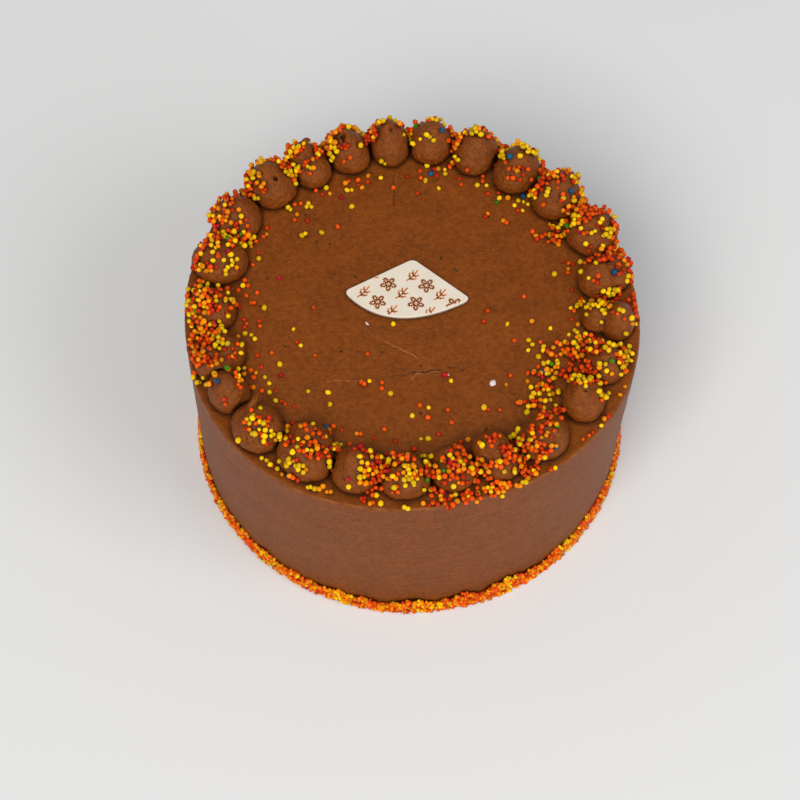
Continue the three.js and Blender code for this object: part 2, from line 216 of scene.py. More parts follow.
def uneven_frosting(point, crest, groove):
    reach = math.hypot(point.x, point.y)
    if reach < NEGLIGIBLE or point.z < NEGLIGIBLE:
        rise = 0.0
        stretch = 0.0
    else:
        turn = Vector((point.x, point.y, 0)) / reach
        on_rim = turn * RIM_RADIUS
        on_top = top_share(point.z)
        ragged = swing(on_rim, *RAGGED_RIM) + swing(on_rim, *FRAYED_RIM)
        scraped = swing((turn.x * SCRAPED_REACH, turn.y * SCRAPED_REACH, point.z), *SCRAPED_WALL)
        stretch = MM * (scraped + swing(point, *BROAD_WALL) + ragged * 4 * on_top * (1 - on_top))
        ringed = swing((turn.x * RINGED_REACH, turn.y * RINGED_REACH, reach), *RINGED_TOP)
        levelled = swing(point, *LEVELLED_TOP) + ringed
        lip = LIP_HEIGHT * math.exp(-((RIM_RADIUS - reach - LIP_INSET) / LIP_WIDTH) ** 2)
        lip *= 0.5 + wavy(on_rim, *LIP_WAVES)
        rise = on_top * (MM * (levelled + lip) + CREST_HEIGHT * crest - GROOVE_DEPTH * groove)
    wave = wall_wave(bearing_of(point.x, point.y), point.z)
    factor = 1 + (wave * min(1.0, reach / RIM_RADIUS) + stretch) / max(reach, NEGLIGIBLE)
    return Vector((point.x * factor, point.y * factor, point.z + rise))


drum_bm = bmesh.new()
spin_profile(drum_bm, drum_profile(), SPIN_STEPS)
refine_near_marks(drum_bm)
crests, grooves = [], []
for vert in drum_bm.verts:
    share = top_share(vert.co.z)
    # On the rim's rounding the crest share is the painted highlight along the edge, with a slight rise.
    crest = RIM_EDGE_HIGHLIGHT * share * (1 - share) * max(0.0, 0.3 + wavy(vert.co, *RIM_HIGHLIGHT_WAVES))
    groove = 0.0
    if share > 0.99:
        crest = mark_share(vert.co, KNIFE_CRESTS, CREST_WIDTH)
        groove = mark_share(vert.co, KNIFE_GROOVES, GROOVE_WIDTH)
    crests.append(crest)
    grooves.append(groove)
    vert.co = uneven_frosting(vert.co, crest, groove)
frosted_drum = finish_mesh(drum_bm, "frosted_drum")
# The crest share carries the painted highlight into the cream's colour, and the groove share carries the
# painted shade.
add_shares(frosted_drum.data, "painted_crest_highlight", crests)
add_shares(frosted_drum.data, "groove", grooves)


def new_material(name):
    material = bpy.data.materials.new(name)
    material.use_nodes = True
    nodes = material.node_tree.nodes
    return material, nodes, nodes["Principled BSDF"]


def feed(node, inputs):
    for socket, source in inputs.items():
        if isinstance(source, bpy.types.NodeSocket):
            node.id_data.links.new(source, node.inputs[socket])
        else:
            node.inputs[socket].default_value = source


def add_node(nodes, kind, inputs, **settings):
    node = nodes.new(kind)
    for setting, value in settings.items():
        setattr(node, setting, value)
    feed(node, inputs)
    return node


def add_math(nodes, operation, *sources):
    return add_node(nodes, "ShaderNodeMath", dict(enumerate(sources)), operation=operation).outputs["Value"]


def share_between(nodes, source, low, high, way="LINEAR"):
    inputs = {"Value": source, "From Min": low, "From Max": high}
    return add_node(nodes, "ShaderNodeMapRange", inputs, interpolation_type=way).outputs["Result"]


def cloudy(nodes, place, scale, detail, roughness=0.5):
    inputs = {"Vector": place, "Scale": scale, "Detail": detail, "Roughness": roughness}
    return add_node(nodes, "ShaderNodeTexNoise", inputs).outputs["Fac"]


def shade_between(nodes, source, dark, light, low=0.0, high=1.0):
    ramp = add_node(nodes, "ShaderNodeValToRGB", {"Fac": source})
    for stop, place, colour in zip(ramp.color_ramp.elements, (low, high), (dark, light)):
        stop.position = place
        stop.color = (*colour, 1)
    return ramp.outputs["Color"]


def roughen(nodes, source, strength, depth):
    inputs = {"Height": source, "Strength": strength, "Distance": depth}
    return add_node(nodes, "ShaderNodeBump", inputs).outputs["Normal"]


def marked_share(nodes, name):
    return add_node(nodes, "ShaderNodeAttribute", {}, attribute_name=name).outputs["Fac"]


def place_on_piece(nodes):
    return nodes.new("ShaderNodeTexCoord").outputs["Object"]


# Buttercream's fine structure, used on the drum and on the piping: a close sugary grain, soft
# mottling from the cocoa drawn out along the wall, and sparse small pits where air bubbles broke.
SMEAR_STRETCH = (1, 1, 6)
SPECKLE_HEIGHT = 0.9
BLOTCH_SHARE = 0.4
# A pit's edge and floor in its cell, the share of cells without one, and its depth in the bump.
PIT_EDGE = 0.13
PIT_FLOOR = 0.03
PITLESS = 0.82
PIT_DEPTH = 2.0


def cream_structure():
    group = bpy.data.node_groups.new("cream_structure", "ShaderNodeTree")
    for way, names in (("INPUT", ("Grain Scale", "Pit Scale")), ("OUTPUT", ("Height", "Mottle", "Pits"))):
        for name in names:
            group.interface.new_socket(name, in_out=way, socket_type="NodeSocketFloat")
    nodes = group.nodes
    given = nodes.new("NodeGroupInput").outputs
    place = place_on_piece(nodes)
    grain = cloudy(nodes, place, scale=given["Grain Scale"], detail=3, roughness=0.7)
    mottle = cloudy(nodes, place, scale=90, detail=6, roughness=0.7)
    speckle = cloudy(nodes, place, scale=620, detail=3, roughness=0.7)
    drawn = add_node(nodes, "ShaderNodeMapping", {"Vector": place, "Scale": SMEAR_STRETCH})
    smear = cloudy(nodes, drawn.outputs["Vector"], scale=75, detail=4, roughness=0.6)
    bubbles = add_node(nodes, "ShaderNodeTexVoronoi", {"Vector": place, "Scale": given["Pit Scale"]})
    near = share_between(nodes, bubbles.outputs["Distance"], PIT_EDGE, PIT_FLOOR, "SMOOTHSTEP")
    cell = add_node(nodes, "ShaderNodeSeparateColor", {"Color": bubbles.outputs["Color"]})
    pits = add_math(nodes, "MULTIPLY", near, add_math(nodes, "GREATER_THAN", cell.outputs["Red"], PITLESS))
    fine = add_math(nodes, "MULTIPLY_ADD", speckle, SPECKLE_HEIGHT, grain)
    height = add_math(nodes, "MULTIPLY_ADD", pits, -PIT_DEPTH, fine)
    soft = add_node(nodes, "ShaderNodeMix", {2: mottle, 3: smear}, data_type="FLOAT").outputs[0]
    inputs = {"Factor": BLOTCH_SHARE, 2: speckle, 3: soft}
    blotch = add_node(nodes, "ShaderNodeMix", inputs, data_type="FLOAT").outputs[0]
    add_node(nodes, "NodeGroupOutput", {"Height": height, "Mottle": blotch, "Pits": pits})
    return group


CREAM_STRUCTURE = cream_structure()
# Pits are darkened towards this colour as painted shade, the shade that falls in their hollows.
PIT_PAINTED_SHADE = (0.35, 0.25, 0.2)
# Knife crests and the rim's edge are lightened towards this colour as a painted highlight.
CREST_PAINTED_HIGHLIGHT = (0.32, 0.115, 0.036)
# Knife grooves are darkened towards this colour as painted shade.
GROOVE_PAINTED_SHADE = (0.03, 0.008, 0.001)
# In a crease the cream is darkened with painted shade, towards this colour: how far it looks for other
# cream, and the shares of open space at which the painted shade starts and is full.
CREASE_PAINTED_SHADE = (0.032, 0.0066, 0.0004)
PAINTED_SHADE_REACH = 2.4 * MM
PAINTED_SHADE_STARTS = 0.88
PAINTED_SHADE_FULL = 0.36
GRAIN_DEPTH = 0.5 * MM
CREAM_SHEEN = (0.95, 0.88, 0.62, 1)


def buttercream(name, dark, light, spread, roughness, shine, grain, grain_scale, pit_scale):
    material, nodes, shader = new_material(name)
    scales = {"Grain Scale": grain_scale, "Pit Scale": pit_scale}
    structure = add_node(nodes, "ShaderNodeGroup", scales, node_tree=CREAM_STRUCTURE).outputs
    openness_for_shade = add_node(nodes, "ShaderNodeAmbientOcclusion", {"Distance": PAINTED_SHADE_REACH}, samples=8)
    colour = shade_between(nodes, structure["Mottle"], dark, light, 0.5 - spread, 0.5 + spread)
    # Over the mottled colour go painted shade in pits, a painted highlight on crests, and painted shade in
    # grooves and creases.
    for share, tint, blend in [
        (structure["Pits"], PIT_PAINTED_SHADE, "MULTIPLY"),
        (marked_share(nodes, "painted_crest_highlight"), CREST_PAINTED_HIGHLIGHT, "MIX"),
        (marked_share(nodes, "groove"), GROOVE_PAINTED_SHADE, "MIX"),
        (share_between(nodes, openness_for_shade.outputs["AO"], PAINTED_SHADE_STARTS, PAINTED_SHADE_FULL), CREASE_PAINTED_SHADE, "MIX"),
    ]:
        inputs = {"Factor": share, 6: colour, 7: (*tint, 1)}
        colour = add_node(nodes, "ShaderNodeMix", inputs, data_type="RGBA", blend_type=blend).outputs[2]
    feed(shader, {
        "Base Color": colour, "Roughness": roughness, "Specular IOR Level": shine,
        "Specular Tint": CREAM_SHEEN, "Subsurface Weight": 0.08, "Subsurface Scale": 0.5,
        "Subsurface Radius": (0.002, 0.0008, 0.0004),
        "Normal": roughen(nodes, structure["Height"], grain, GRAIN_DEPTH),
    })
    return material


FROSTING_DARK = (0.121, 0.0268, 0.0013)
FROSTING_LIGHT = (0.246, 0.0568, 0.0048)
spread_cream = buttercream("spread_buttercream", FROSTING_DARK, FROSTING_LIGHT, spread=0.15, roughness=0.5,
                           shine=0.24, grain=0.7, grain_scale=1500, pit_scale=210)
frosted_drum.data.materials.append(spread_cream)
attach(frosted_drum, "root")
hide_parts("cake")

# The piped dollops: soft balls of the same buttercream, pressed out of a plain round nozzle side by
# side until they touch, some with a second ball, a pulled tip or a small burst bubble. Each is one or
# two spun balls melted together by a voxel remesh, then made uneven and set on the rim.

# Bearing, reach, outline, and lobes of (clockwise, inward, across, deep, tall, lean clockwise, lean
# inward).
DOLLOPS = [
    (-6.5, 71, "peaked", [(0, 0, 15.5, 17, 14, -1, -2.5)]),
    (5.5, 71.5, "round", [(0, 0, 16, 16, 12.5, 0, -1.5)]),
    (19, 71, "round", [(0, 0, 16, 18, 13, 0, -1)]),
    (32.5, 70.5, "round", [(0, 0, 17, 18.5, 13, 0.5, -1.5)]),
    (47.5, 71, "round", [(0, 0, 18.5, 18, 13.5, -1, -1.5)]),
    (63, 72.5, "round", [(0, 0, 18.5, 18.5, 12, -1, -0.5)]),
    (78, 69, "round", [(0, 1, 15.5, 15.5, 12, 0, 0), (-0.5, -4, 13.5, 14, 11, 0, 0)]),
    (92.5, 70.5, "round", [(0.5, -2.5, 15, 12, 11.5, 0, 0), (-1, 5, 12, 10, 9, 0, 0)]),
    (107.5, 71, "round", [(0, 0, 15, 13.5, 11.5, 0, 0)]),
    (120.5, 70.5, "peaked", [(0, 0, 16.5, 15, 13, 0.5, 2.5)]),
    (137.5, 68.5, "round", [(0, 0, 18.5, 17, 12, 0, 0)]),
    (153, 66, "round", [(-0.5, -2, 15, 13.5, 10.5, 0, 0), (0.5, 3, 14.5, 13, 13.5, 0, 0)]),
    (166.5, 65.5, "round", [(0, -1, 15.5, 14, 11.5, 0, 0), (0.5, 3, 13, 11, 12.5, 0, 0)]),
    (180.5, 66.5, "round", [(0, -1, 17, 14.5, 12, 0, 0), (0.5, 3, 13, 11, 12.5, 0, 0)]),
    (195, 66.5, "round", [(0, 0, 17.5, 17, 13.5, 0, 1)]),
    (210, 67, "round", [(0.5, -1.5, 20.5, 18, 12, 0, 0), (2, 4, 17, 14, 13, 0, 0)]),
    (227, 70.5, "round", [(0, 0, 19.5, 18, 11, 0, 1)]),
    (241, 71, "round", [(0, 0, 16.5, 14.5, 12.5, 0, 0)]),
    (252.5, 69, "round", [(-1.5, -2.5, 14, 13, 10.5, 0, 0), (1.5, 3, 14, 13, 11.5, 0, 0)]),
    (269, 69.5, "round", [(0, 0, 17, 17, 11.5, 0, 0)]),
    (286, 70.5, "round", [(0, 0, 17.5, 20.5, 11, 0, 0)]),
    (301, 72.5, "round", [(0, 0, 17, 18, 11.5, 0.5, -2)]),
    (316, 72.5, "peaked", [(0, 0, 18.5, 18.5, 13.5, -1, -2.5)]),
    (328.5, 70, "round", [(0, 1, 13.5, 14.5, 11, 0, 0), (-1, -3.5, 12, 12, 14, 0, -1)]),
    (341, 70.5, "peaked", [(0, 0, 15, 17.5, 14.5, -1, -2.5)]),
]
DOLLOP_STEPS = 40
DOLLOP_VOXEL = 0.4 * MM
BASE_SINK = 0.5 * MM
LEAN_CURVE = 1.6
# A lobe is out of round by these shares, in two and in three waves.
TWO_WAVES = 0.025
THREE_WAVES = 0.015
# Up to this height a dollop follows the rim's rounding down.
SETTLING = 5 * MM
# Neighbours part from each other by this much at the foot, and by this share of the height above it.
PART_GAP = 0.12 * MM
PART_SPREAD = 0.09
LOBE_OUTLINES = {
    "round": [
        (0, 0), (0.76, 0), (0.89, 0.05), (0.97, 0.14), (1.0, 0.26), (0.975, 0.38), (0.915, 0.5),
        (0.82, 0.61), (0.69, 0.72), (0.53, 0.82), (0.4, 0.9), (0.3, 0.955), (0.18, 0.99), (0, 1.0),
    ],
    "peaked": [
        (0, 0), (0.76, 0), (0.89, 0.05), (0.97, 0.12), (1.0, 0.23), (0.97, 0.34), (0.89, 0.46),
        (0.76, 0.58), (0.59, 0.69), (0.44, 0.79), (0.33, 0.87), (0.25, 0.93), (0.15, 0.98), (0, 1.0),
    ],
}

# Pulled tips: dollop, start and end as (clockwise, inward, up), arch, and radius at each end.
TIPS = [
    (10, (0, 1.4, 11), (0.4, 3.4, 13.6), 0.5, 1.5, 0.5),
    (17, (4.4, -0.2, 7.4), (7, 7.4, 10.4), 0.8, 1.8, 0.45),
    (22, (2.4, -4.4, 8), (3.3, -6.2, 11), 0.3, 1.4, 0.35),
    (22, (-4, -5.8, 6.5), (-5.2, -7.8, 8.4), 0.3, 1.2, 0.35),
    (24, (-0.6, -4.8, 12.6), (2.6, -4.6, 14), 1.4, 1.5, 0.5),
    (25, (-1, -3, 13), (0.8, -4.2, 15), 0.5, 1.4, 0.5),
]
TIP_STEPS = 9
TIP_SIDES = 14

# Burst bubbles: dollop, place as (clockwise, inward), radius and depth.
BUBBLES = [
    (1, 0.3, -0.4, 0.9, 1.4), (3, -1.5, -3.2, 0.6, 0.4), (10, 0.6, 0.2, 1.1, 1.3),
    (10, -0.9, 0.8, 0.8, 0.8), (10, 3.0, -6.8, 0.8, 0.9), (12, 1.2, 2.4, 1.0, 0.9),
    (12, -0.6, 3.4, 0.8, 0.6), (17, -3.4, -7.0, 0.7, 0.8), (17, -2.4, -7.0, 0.6, 0.7),
    (17, -4.4, -7.1, 0.6, 0.6), (23, -0.2, 2.2, 1.1, 2.5), (24, -1.8, -5.2, 0.8, 0.7),
    (25, -1.7, -1.6, 1.5, 3.2), (25, -1.9, -0.2, 0.9, 1.8),
]
# Unevenness of a dollop: how far it swings in millimetres, and the size of its waves.
DOLLOP_WAVES = [(0.4, 6.0 * MM), (0.2, 2.0 * MM), (0.14, 0.9 * MM)]


def merge_mesh(bm, part):
    mesh = bpy.data.meshes.new("part")
    part.to_mesh(mesh)
    part.free()
    bm.from_mesh(mesh)
    bpy.data.meshes.remove(mesh)


def add_lobe(bm, outline, shape, wobble):
    along, inward, across, deep, tall, lean_along, lean_in = [value * MM for value in shape]
    ball = bmesh.new()
    spin_profile(ball, outline, DOLLOP_STEPS)
    for vert in ball.verts:
        x, y, rise = vert.co
        turn = math.atan2(y, x)
        swell = 1 + TWO_WAVES * math.cos(2 * turn + wobble) + THREE_WAVES * math.cos(3 * turn + 2 * wobble)
        drift = max(0.0, rise) ** LEAN_CURVE
        vert.co.x = x * swell * across / 2 + along + lean_along * drift
        vert.co.y = y * swell * deep / 2 - inward - lean_in * drift
        vert.co.z = rise * tall
    merge_mesh(bm, ball)


def add_tip(bm, start, end, arch, thick, thin):
    along, inward, up = start
    first = Vector((along, -inward, up)) * MM
    along, inward, up = end
    last = Vector((along, -inward, up)) * MM
    facing = (last - first).to_track_quat("Z", "Y").to_matrix()
    tip = bmesh.new()
    bmesh.ops.create_cone(tip, cap_ends=True, segments=TIP_SIDES, radius1=1, radius2=1, depth=1)
    sides = [edge for edge in tip.edges if abs(edge.verts[0].co.z - edge.verts[1].co.z) > 0.5]
    bmesh.ops.subdivide_edges(tip, edges=sides, cuts=TIP_STEPS, use_grid_fill=True)
    for vert in tip.verts:
        share = vert.co.z + 0.5
        radius = (thick + (thin - thick) * share) * MM
        centre = first.lerp(last, share)
        centre.z += arch * MM * math.sin(math.pi * share)
        vert.co = centre + facing @ Vector((vert.co.x * radius, vert.co.y * radius, 0))
    merge_mesh(bm, tip)


def melted(bm, name):
    rough = finish_mesh(bm, name + "_rough")
    modifier = rough.modifiers.new("melt", "REMESH")
    modifier.mode = "VOXEL"
    modifier.voxel_size = DOLLOP_VOXEL
    evaluated = rough.evaluated_get(bpy.context.evaluated_depsgraph_get())
    mesh = bpy.data.meshes.new_from_object(evaluated)
    bpy.data.objects.remove(rough)
    return mesh


def dollop_span(lobes):
    return max(across + 2 * abs(along) for along, _, across, *_ in lobes)


def contact_planes(index):
    bearing, reach, _, lobes = DOLLOPS[index]
    place = polar(bearing, reach * MM)
    planes = []
    for neighbour in (DOLLOPS[index - 1], DOLLOPS[(index + 1) % len(DOLLOPS)]):
        other_bearing, other_reach, _, other_lobes = neighbour
        normal = polar(other_bearing, other_reach * MM) - place
        share = dollop_span(lobes) / (dollop_span(lobes) + dollop_span(other_lobes))
        planes.append((normal.normalized(), normal.length * share))
    return planes


def rim_drop(point):
    flat = RIM_RADIUS - RIM_ROUNDING + wall_wave(bearing_of(point.x, point.y), CAKE_HEIGHT)
    over = min(RIM_ROUNDING, max(0.0, math.hypot(point.x, point.y) - flat))
    return RIM_ROUNDING - math.sqrt(RIM_ROUNDING ** 2 - over ** 2)


def pipe_dollop(index, luck):
    bearing, reach, kind, lobes = DOLLOPS[index]
    number = index + 1
    wobble = 2 * math.pi * luck.random()
    bm = bmesh.new()
    for order, shape in enumerate(lobes):
        add_lobe(bm, LOBE_OUTLINES[kind], shape, wobble + order)
    for owner, *tip in TIPS:
        if owner == number:
            add_tip(bm, *tip)
    mesh = melted(bm, f"piped_{number:02d}")
    bm = bmesh.new()
    bm.from_mesh(mesh)
    bpy.data.meshes.remove(mesh)
    bmesh.ops.smooth_vert(bm, verts=bm.verts, factor=0.5, use_axis_x=True, use_axis_y=True,
                          use_axis_z=True)
    bm.normal_update()
    bubbles = [(Vector((along, -inward)) * MM, size * MM, depth * MM)
               for owner, along, inward, size, depth in BUBBLES if owner == number]
    planes = contact_planes(index)
    place = polar(bearing, reach * MM, CAKE_HEIGHT - BASE_SINK)
    turned = Matrix.Rotation(-math.radians(bearing), 3, "Z")
    for vert in bm.verts:
        bulge = sum(swing(vert.co, amount, size, 10.0 * number) for amount, size in DOLLOP_WAVES)
        vert.co += vert.normal * bulge * MM
        for centre, size, depth in bubbles:
            near = (vert.co.xy - centre).length / size
            if near < 1 and vert.normal.z > 0:
                vert.co.z -= depth * (1 - near ** 2) ** 2
        spot = turned @ vert.co
        for normal, limit in planes:
            past = spot.dot(normal) - limit + PART_GAP + PART_SPREAD * spot.z
            if past > 0:
                spot -= normal * past
        low = max(0.0, 1 - spot.z / SETTLING)
        spot.z = max(0.0, spot.z)
        spot += place
        spot.z -= low * rim_drop(spot)
        vert.co = spot
    return finish_mesh(bm, f"piped_{number:02d}")


PIPED_DARK = (0.112, 0.0225, 0.0010)
PIPED_LIGHT = (0.268, 0.062, 0.0046)
piped_cream = buttercream("piped_buttercream", PIPED_DARK, PIPED_LIGHT, spread=0.18, roughness=0.44,
                          shine=0.3, grain=1.0, grain_scale=1300, pit_scale=330)
piping_luck = random.Random(11)
dollops = []
for dollop_index in range(len(DOLLOPS)):
    dollop = pipe_dollop(dollop_index, piping_luck)
    dollop.data.materials.append(piped_cream)
    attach(dollop, "root")
    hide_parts(f"dollop_{dollop_index + 1:02d}")
    dollops.append(dollop)

# The plaque: a thin shape of white chocolate with two straight edges and one curved one, laid on the
# frosting. It is cut as one outline, thickened upwards and rounded over along its upper edge.

PLAQUE_TOP = Vector((0.9, 22.3)) * MM
PLAQUE_LEFT = Vector((-23.5, 8.3)) * MM
PLAQUE_RIGHT = Vector((21.6, 5.7)) * MM
PLAQUE_BELLY = Vector((-4.1, -2.2)) * MM
PLAQUE_CORNER = 2.2 * MM
CORNER_STEPS = 6
BELLY_STEPS = 24
PLAQUE_THICKNESS = 1.4 * MM
PLAQUE_EDGE = 0.3 * MM
PLAQUE_LIFT = 0.1 * MM


def bend(start, control, end, share):
    return start.lerp(control, share).lerp(control.lerp(end, share), share)


def plaque_outline():
    def towards(start, end):
        return start + (end - start).normalized() * PLAQUE_CORNER

    control = PLAQUE_BELLY * 2 - (PLAQUE_LEFT + PLAQUE_RIGHT) / 2
    arc = [bend(PLAQUE_RIGHT, control, PLAQUE_LEFT, 0.05 + 0.9 * i / BELLY_STEPS)
           for i in range(BELLY_STEPS + 1)]
    outline = [towards(PLAQUE_LEFT, PLAQUE_TOP)]
    for corner, before, after in [
        (PLAQUE_TOP, towards(PLAQUE_TOP, PLAQUE_LEFT), towards(PLAQUE_TOP, PLAQUE_RIGHT)),
        (PLAQUE_RIGHT, towards(PLAQUE_RIGHT, PLAQUE_TOP), arc[0]),
    ]:
        outline += [bend(before, corner, after, i / CORNER_STEPS) for i in range(CORNER_STEPS + 1)]
    outline += arc[1:]
    outline += [bend(arc[-1], PLAQUE_LEFT, outline[0], i / CORNER_STEPS) for i in range(1, CORNER_STEPS)]
    return outline


plaque_bm = bmesh.new()
rim = [plaque_bm.verts.new((p.x, p.y, CAKE_HEIGHT + PLAQUE_LIFT)) for p in plaque_outline()]
sheet = plaque_bm.faces.new(rim)
raised = bmesh.ops.extrude_face_region(plaque_bm, geom=[sheet])
raised_verts = [part for part in raised["geom"] if isinstance(part, bmesh.types.BMVert)]
bmesh.ops.translate(plaque_bm, verts=raised_verts, vec=(0, 0, PLAQUE_THICKNESS))
bmesh.ops.recalc_face_normals(plaque_bm, faces=plaque_bm.faces)
upper = [e for e in plaque_bm.edges if all(v in raised_verts for v in e.verts)]
bmesh.ops.bevel(plaque_bm, geom=upper, offset=PLAQUE_EDGE, segments=3, profile=0.5, affect="EDGES",
                material=-1)
plaque_piece = finish_mesh(plaque_bm, "white_plaque")
for polygon in plaque_piece.data.polygons:
    polygon.use_smooth = abs(polygon.normal.z) < 0.999

PLAQUE_DARK = (0.65, 0.565, 0.45)
PLAQUE_LIGHT = (0.73, 0.655, 0.555)
white_chocolate, nodes, shader = new_material("white_chocolate")
cloud = cloudy(nodes, place_on_piece(nodes), scale=160, detail=4, roughness=0.6)
feed(shader, {
    "Base Color": shade_between(nodes, cloud, PLAQUE_DARK, PLAQUE_LIGHT), "Roughness": 0.38,
    "Subsurface Weight": 0.2, "Subsurface Radius": (0.003, 0.002, 0.001),
    "Normal": roughen(nodes, cloud, strength=0.15, depth=0.15 * MM),
})
plaque_piece.data.materials.append(white_chocolate)
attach(plaque_piece, "root")
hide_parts("plaque")

# The print on the plaque: rows of open flowers and leafy sprigs in cocoa butter, cut off where the
# plaque ends. Every stroke is a thin film, laid over a wider and paler one where the print bled.

PRINT_HEIGHT = CAKE_HEIGHT + PLAQUE_LIFT + PLAQUE_THICKNESS
FILM = 0.05 * MM
PRINT_MARGIN = 0.9 * MM
# The rows of motifs run along the plaque's right edge. These measures are in millimetres.
FIRST_ROW = 5.8
ROW_PITCH = 8.1
FIRST_MOTIF = 4.6
MOTIF_PITCH = 6.3
ROW_SHIFT = 4.5
PETAL_STEPS = 8
PETAL_MIDDLE = 1.75
PETAL_LENGTH = 1.05
PETAL_BREADTH = 0.62
INK_WIDTH = 0.34 * MM
BLED_WIDTH = 0.8 * MM


def petal_stroke(turn):
    loop = []
    for step in range(PETAL_STEPS + 1):
        angle = 2 * math.pi * step / PETAL_STEPS
        out = PETAL_MIDDLE - PETAL_LENGTH * math.cos(angle)
        loop.append(Matrix.Rotation(turn, 2) @ Vector((out, PETAL_BREADTH * math.sin(angle))))
    return loop


FLOWER = [petal_stroke(math.radians(72 * petal + 18)) for petal in range(5)]
SPRIG = [
    [(-0.5, -2.9), (0.0, -1.4), (0.1, 0.4), (-0.1, 2.9)],
    [(0.0, -1.6), (0.9, -1.1), (1.7, -0.2)], [(0.0, -1.3), (-0.9, -0.8), (-1.6, 0.2)],
    [(0.1, 0.1), (0.9, 0.5), (1.5, 1.4)], [(0.1, 0.3), (-0.8, 0.8), (-1.3, 1.8)],
]


def inside_plaque(point, outline):
    inside = False
    for a, b in zip(outline, outline[1:] + outline[:1]):
        if (a.y > point.y) != (b.y > point.y):
            crossing = a.x + (point.y - a.y) * (b.x - a.x) / (b.y - a.y)
            if point.x < crossing:
                inside = not inside
    return inside and min((a - point).length for a in outline) > PRINT_MARGIN


def add_stroke(bm, start, end, width, level, slot):
    way = end - start
    film = (
        Matrix.Translation((*((start + end) / 2), PRINT_HEIGHT + (level - 0.5) * FILM))
        @ Matrix.Rotation(math.atan2(way.y, way.x), 4, "Z")
        @ Matrix.Diagonal((way.length + 0.6 * width, width, FILM, 1))
    )
    made = bmesh.ops.create_cube(bm, size=1, matrix=film)
    for face in {face for vert in made["verts"] for face in vert.link_faces}:
        face.material_index = slot


def print_motif(bm, centre, right, up, strokes, outline):
    for stroke in strokes:
        points = [centre + (right * u + up * v) * MM for u, v in stroke]
        for start, end in zip(points, points[1:]):
            if inside_plaque((start + end) / 2, outline):
                add_stroke(bm, start, end, BLED_WIDTH, 1, 0)
                add_stroke(bm, start, end, INK_WIDTH, 2, 1)


print_bm = bmesh.new()
edge_way = (PLAQUE_RIGHT - PLAQUE_TOP).normalized()
row_way = Vector((edge_way.y, -edge_way.x))
outline = plaque_outline()
dense_outline = [a.lerp(b, i / 8) for a, b in zip(outline, outline[1:] + outline[:1]) for i in range(8)]
for row in range(3):
    for step in range(-1, 4):
        along = FIRST_MOTIF - ROW_SHIFT * row + step * MOTIF_PITCH
        centre = PLAQUE_TOP + (row_way * (FIRST_ROW + row * ROW_PITCH) + edge_way * along) * MM
        strokes = FLOWER if (step + row) % 2 else SPRIG
        if step >= 0 or row:
            print_motif(print_bm, centre, edge_way, -row_way, strokes, dense_outline)
ornament = finish_mesh(print_bm, "plaque_ornament")
for polygon in ornament.data.polygons:
    polygon.use_smooth = False


def cocoa_print(name, dark, light):
    material, nodes, shader = new_material(name)
    fade = cloudy(nodes, place_on_piece(nodes), scale=900, detail=2)
    feed(shader, {"Base Color": shade_between(nodes, fade, dark, light, 0.3, 0.7), "Roughness": 0.45})
    return material


bled_print = cocoa_print("bled_print", dark=(0.68, 0.34, 0.16), light=(0.76, 0.54, 0.34))
inked_print = cocoa_print("cocoa_print", dark=(0.28, 0.045, 0.009), light=(0.46, 0.12, 0.035))
ornament.data.materials.append(bled_print)
ornament.data.materials.append(inked_print)
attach(ornament, "root")

# The sugar beads: small dull balls about 2 mm across, mostly orange and yellow, thrown by hand over
# the dollops. Each flies until it meets cream or another bead, and sinks halfway into the cream. One
# joined mesh holds each colour.

BEAD_RADIUS = 0.9 * MM
BEAD_SIZES = {
    "yellow": 1.01, "amber": 1.0, "orange": 0.94, "scarlet": 0.9, "crimson": 0.95, "blue": 1.02,
    "green": 1.0,
}
BEAD_COLOURS = {
    "yellow": (0.84, 0.50, 0.002),
    "amber": (0.82, 0.25, 0.001),
    "orange": (0.74, 0.076, 0.001),
    "scarlet": (0.52, 0.026, 0.001),
    "crimson": (0.46, 0.006, 0.02),
    "blue": (0.003, 0.085, 0.19),
    "green": (0.05, 0.2, 0.006),
}
MIXES = {
    "mixed": {"yellow": 40, "amber": 16, "orange": 26, "scarlet": 16, "crimson": 1, "green": 1},
    "orange": {"yellow": 8, "amber": 22, "orange": 44, "scarlet": 25, "crimson": 1},
    "yellow": {"yellow": 68, "amber": 18, "orange": 8, "scarlet": 6},
    "red": {"yellow": 18, "amber": 6, "orange": 28, "scarlet": 44, "crimson": 4},
    "band": {"yellow": 6, "amber": 30, "orange": 54, "scarlet": 10},
    "pale band": {"yellow": 30, "amber": 38, "orange": 28, "scarlet": 3, "green": 1},
}

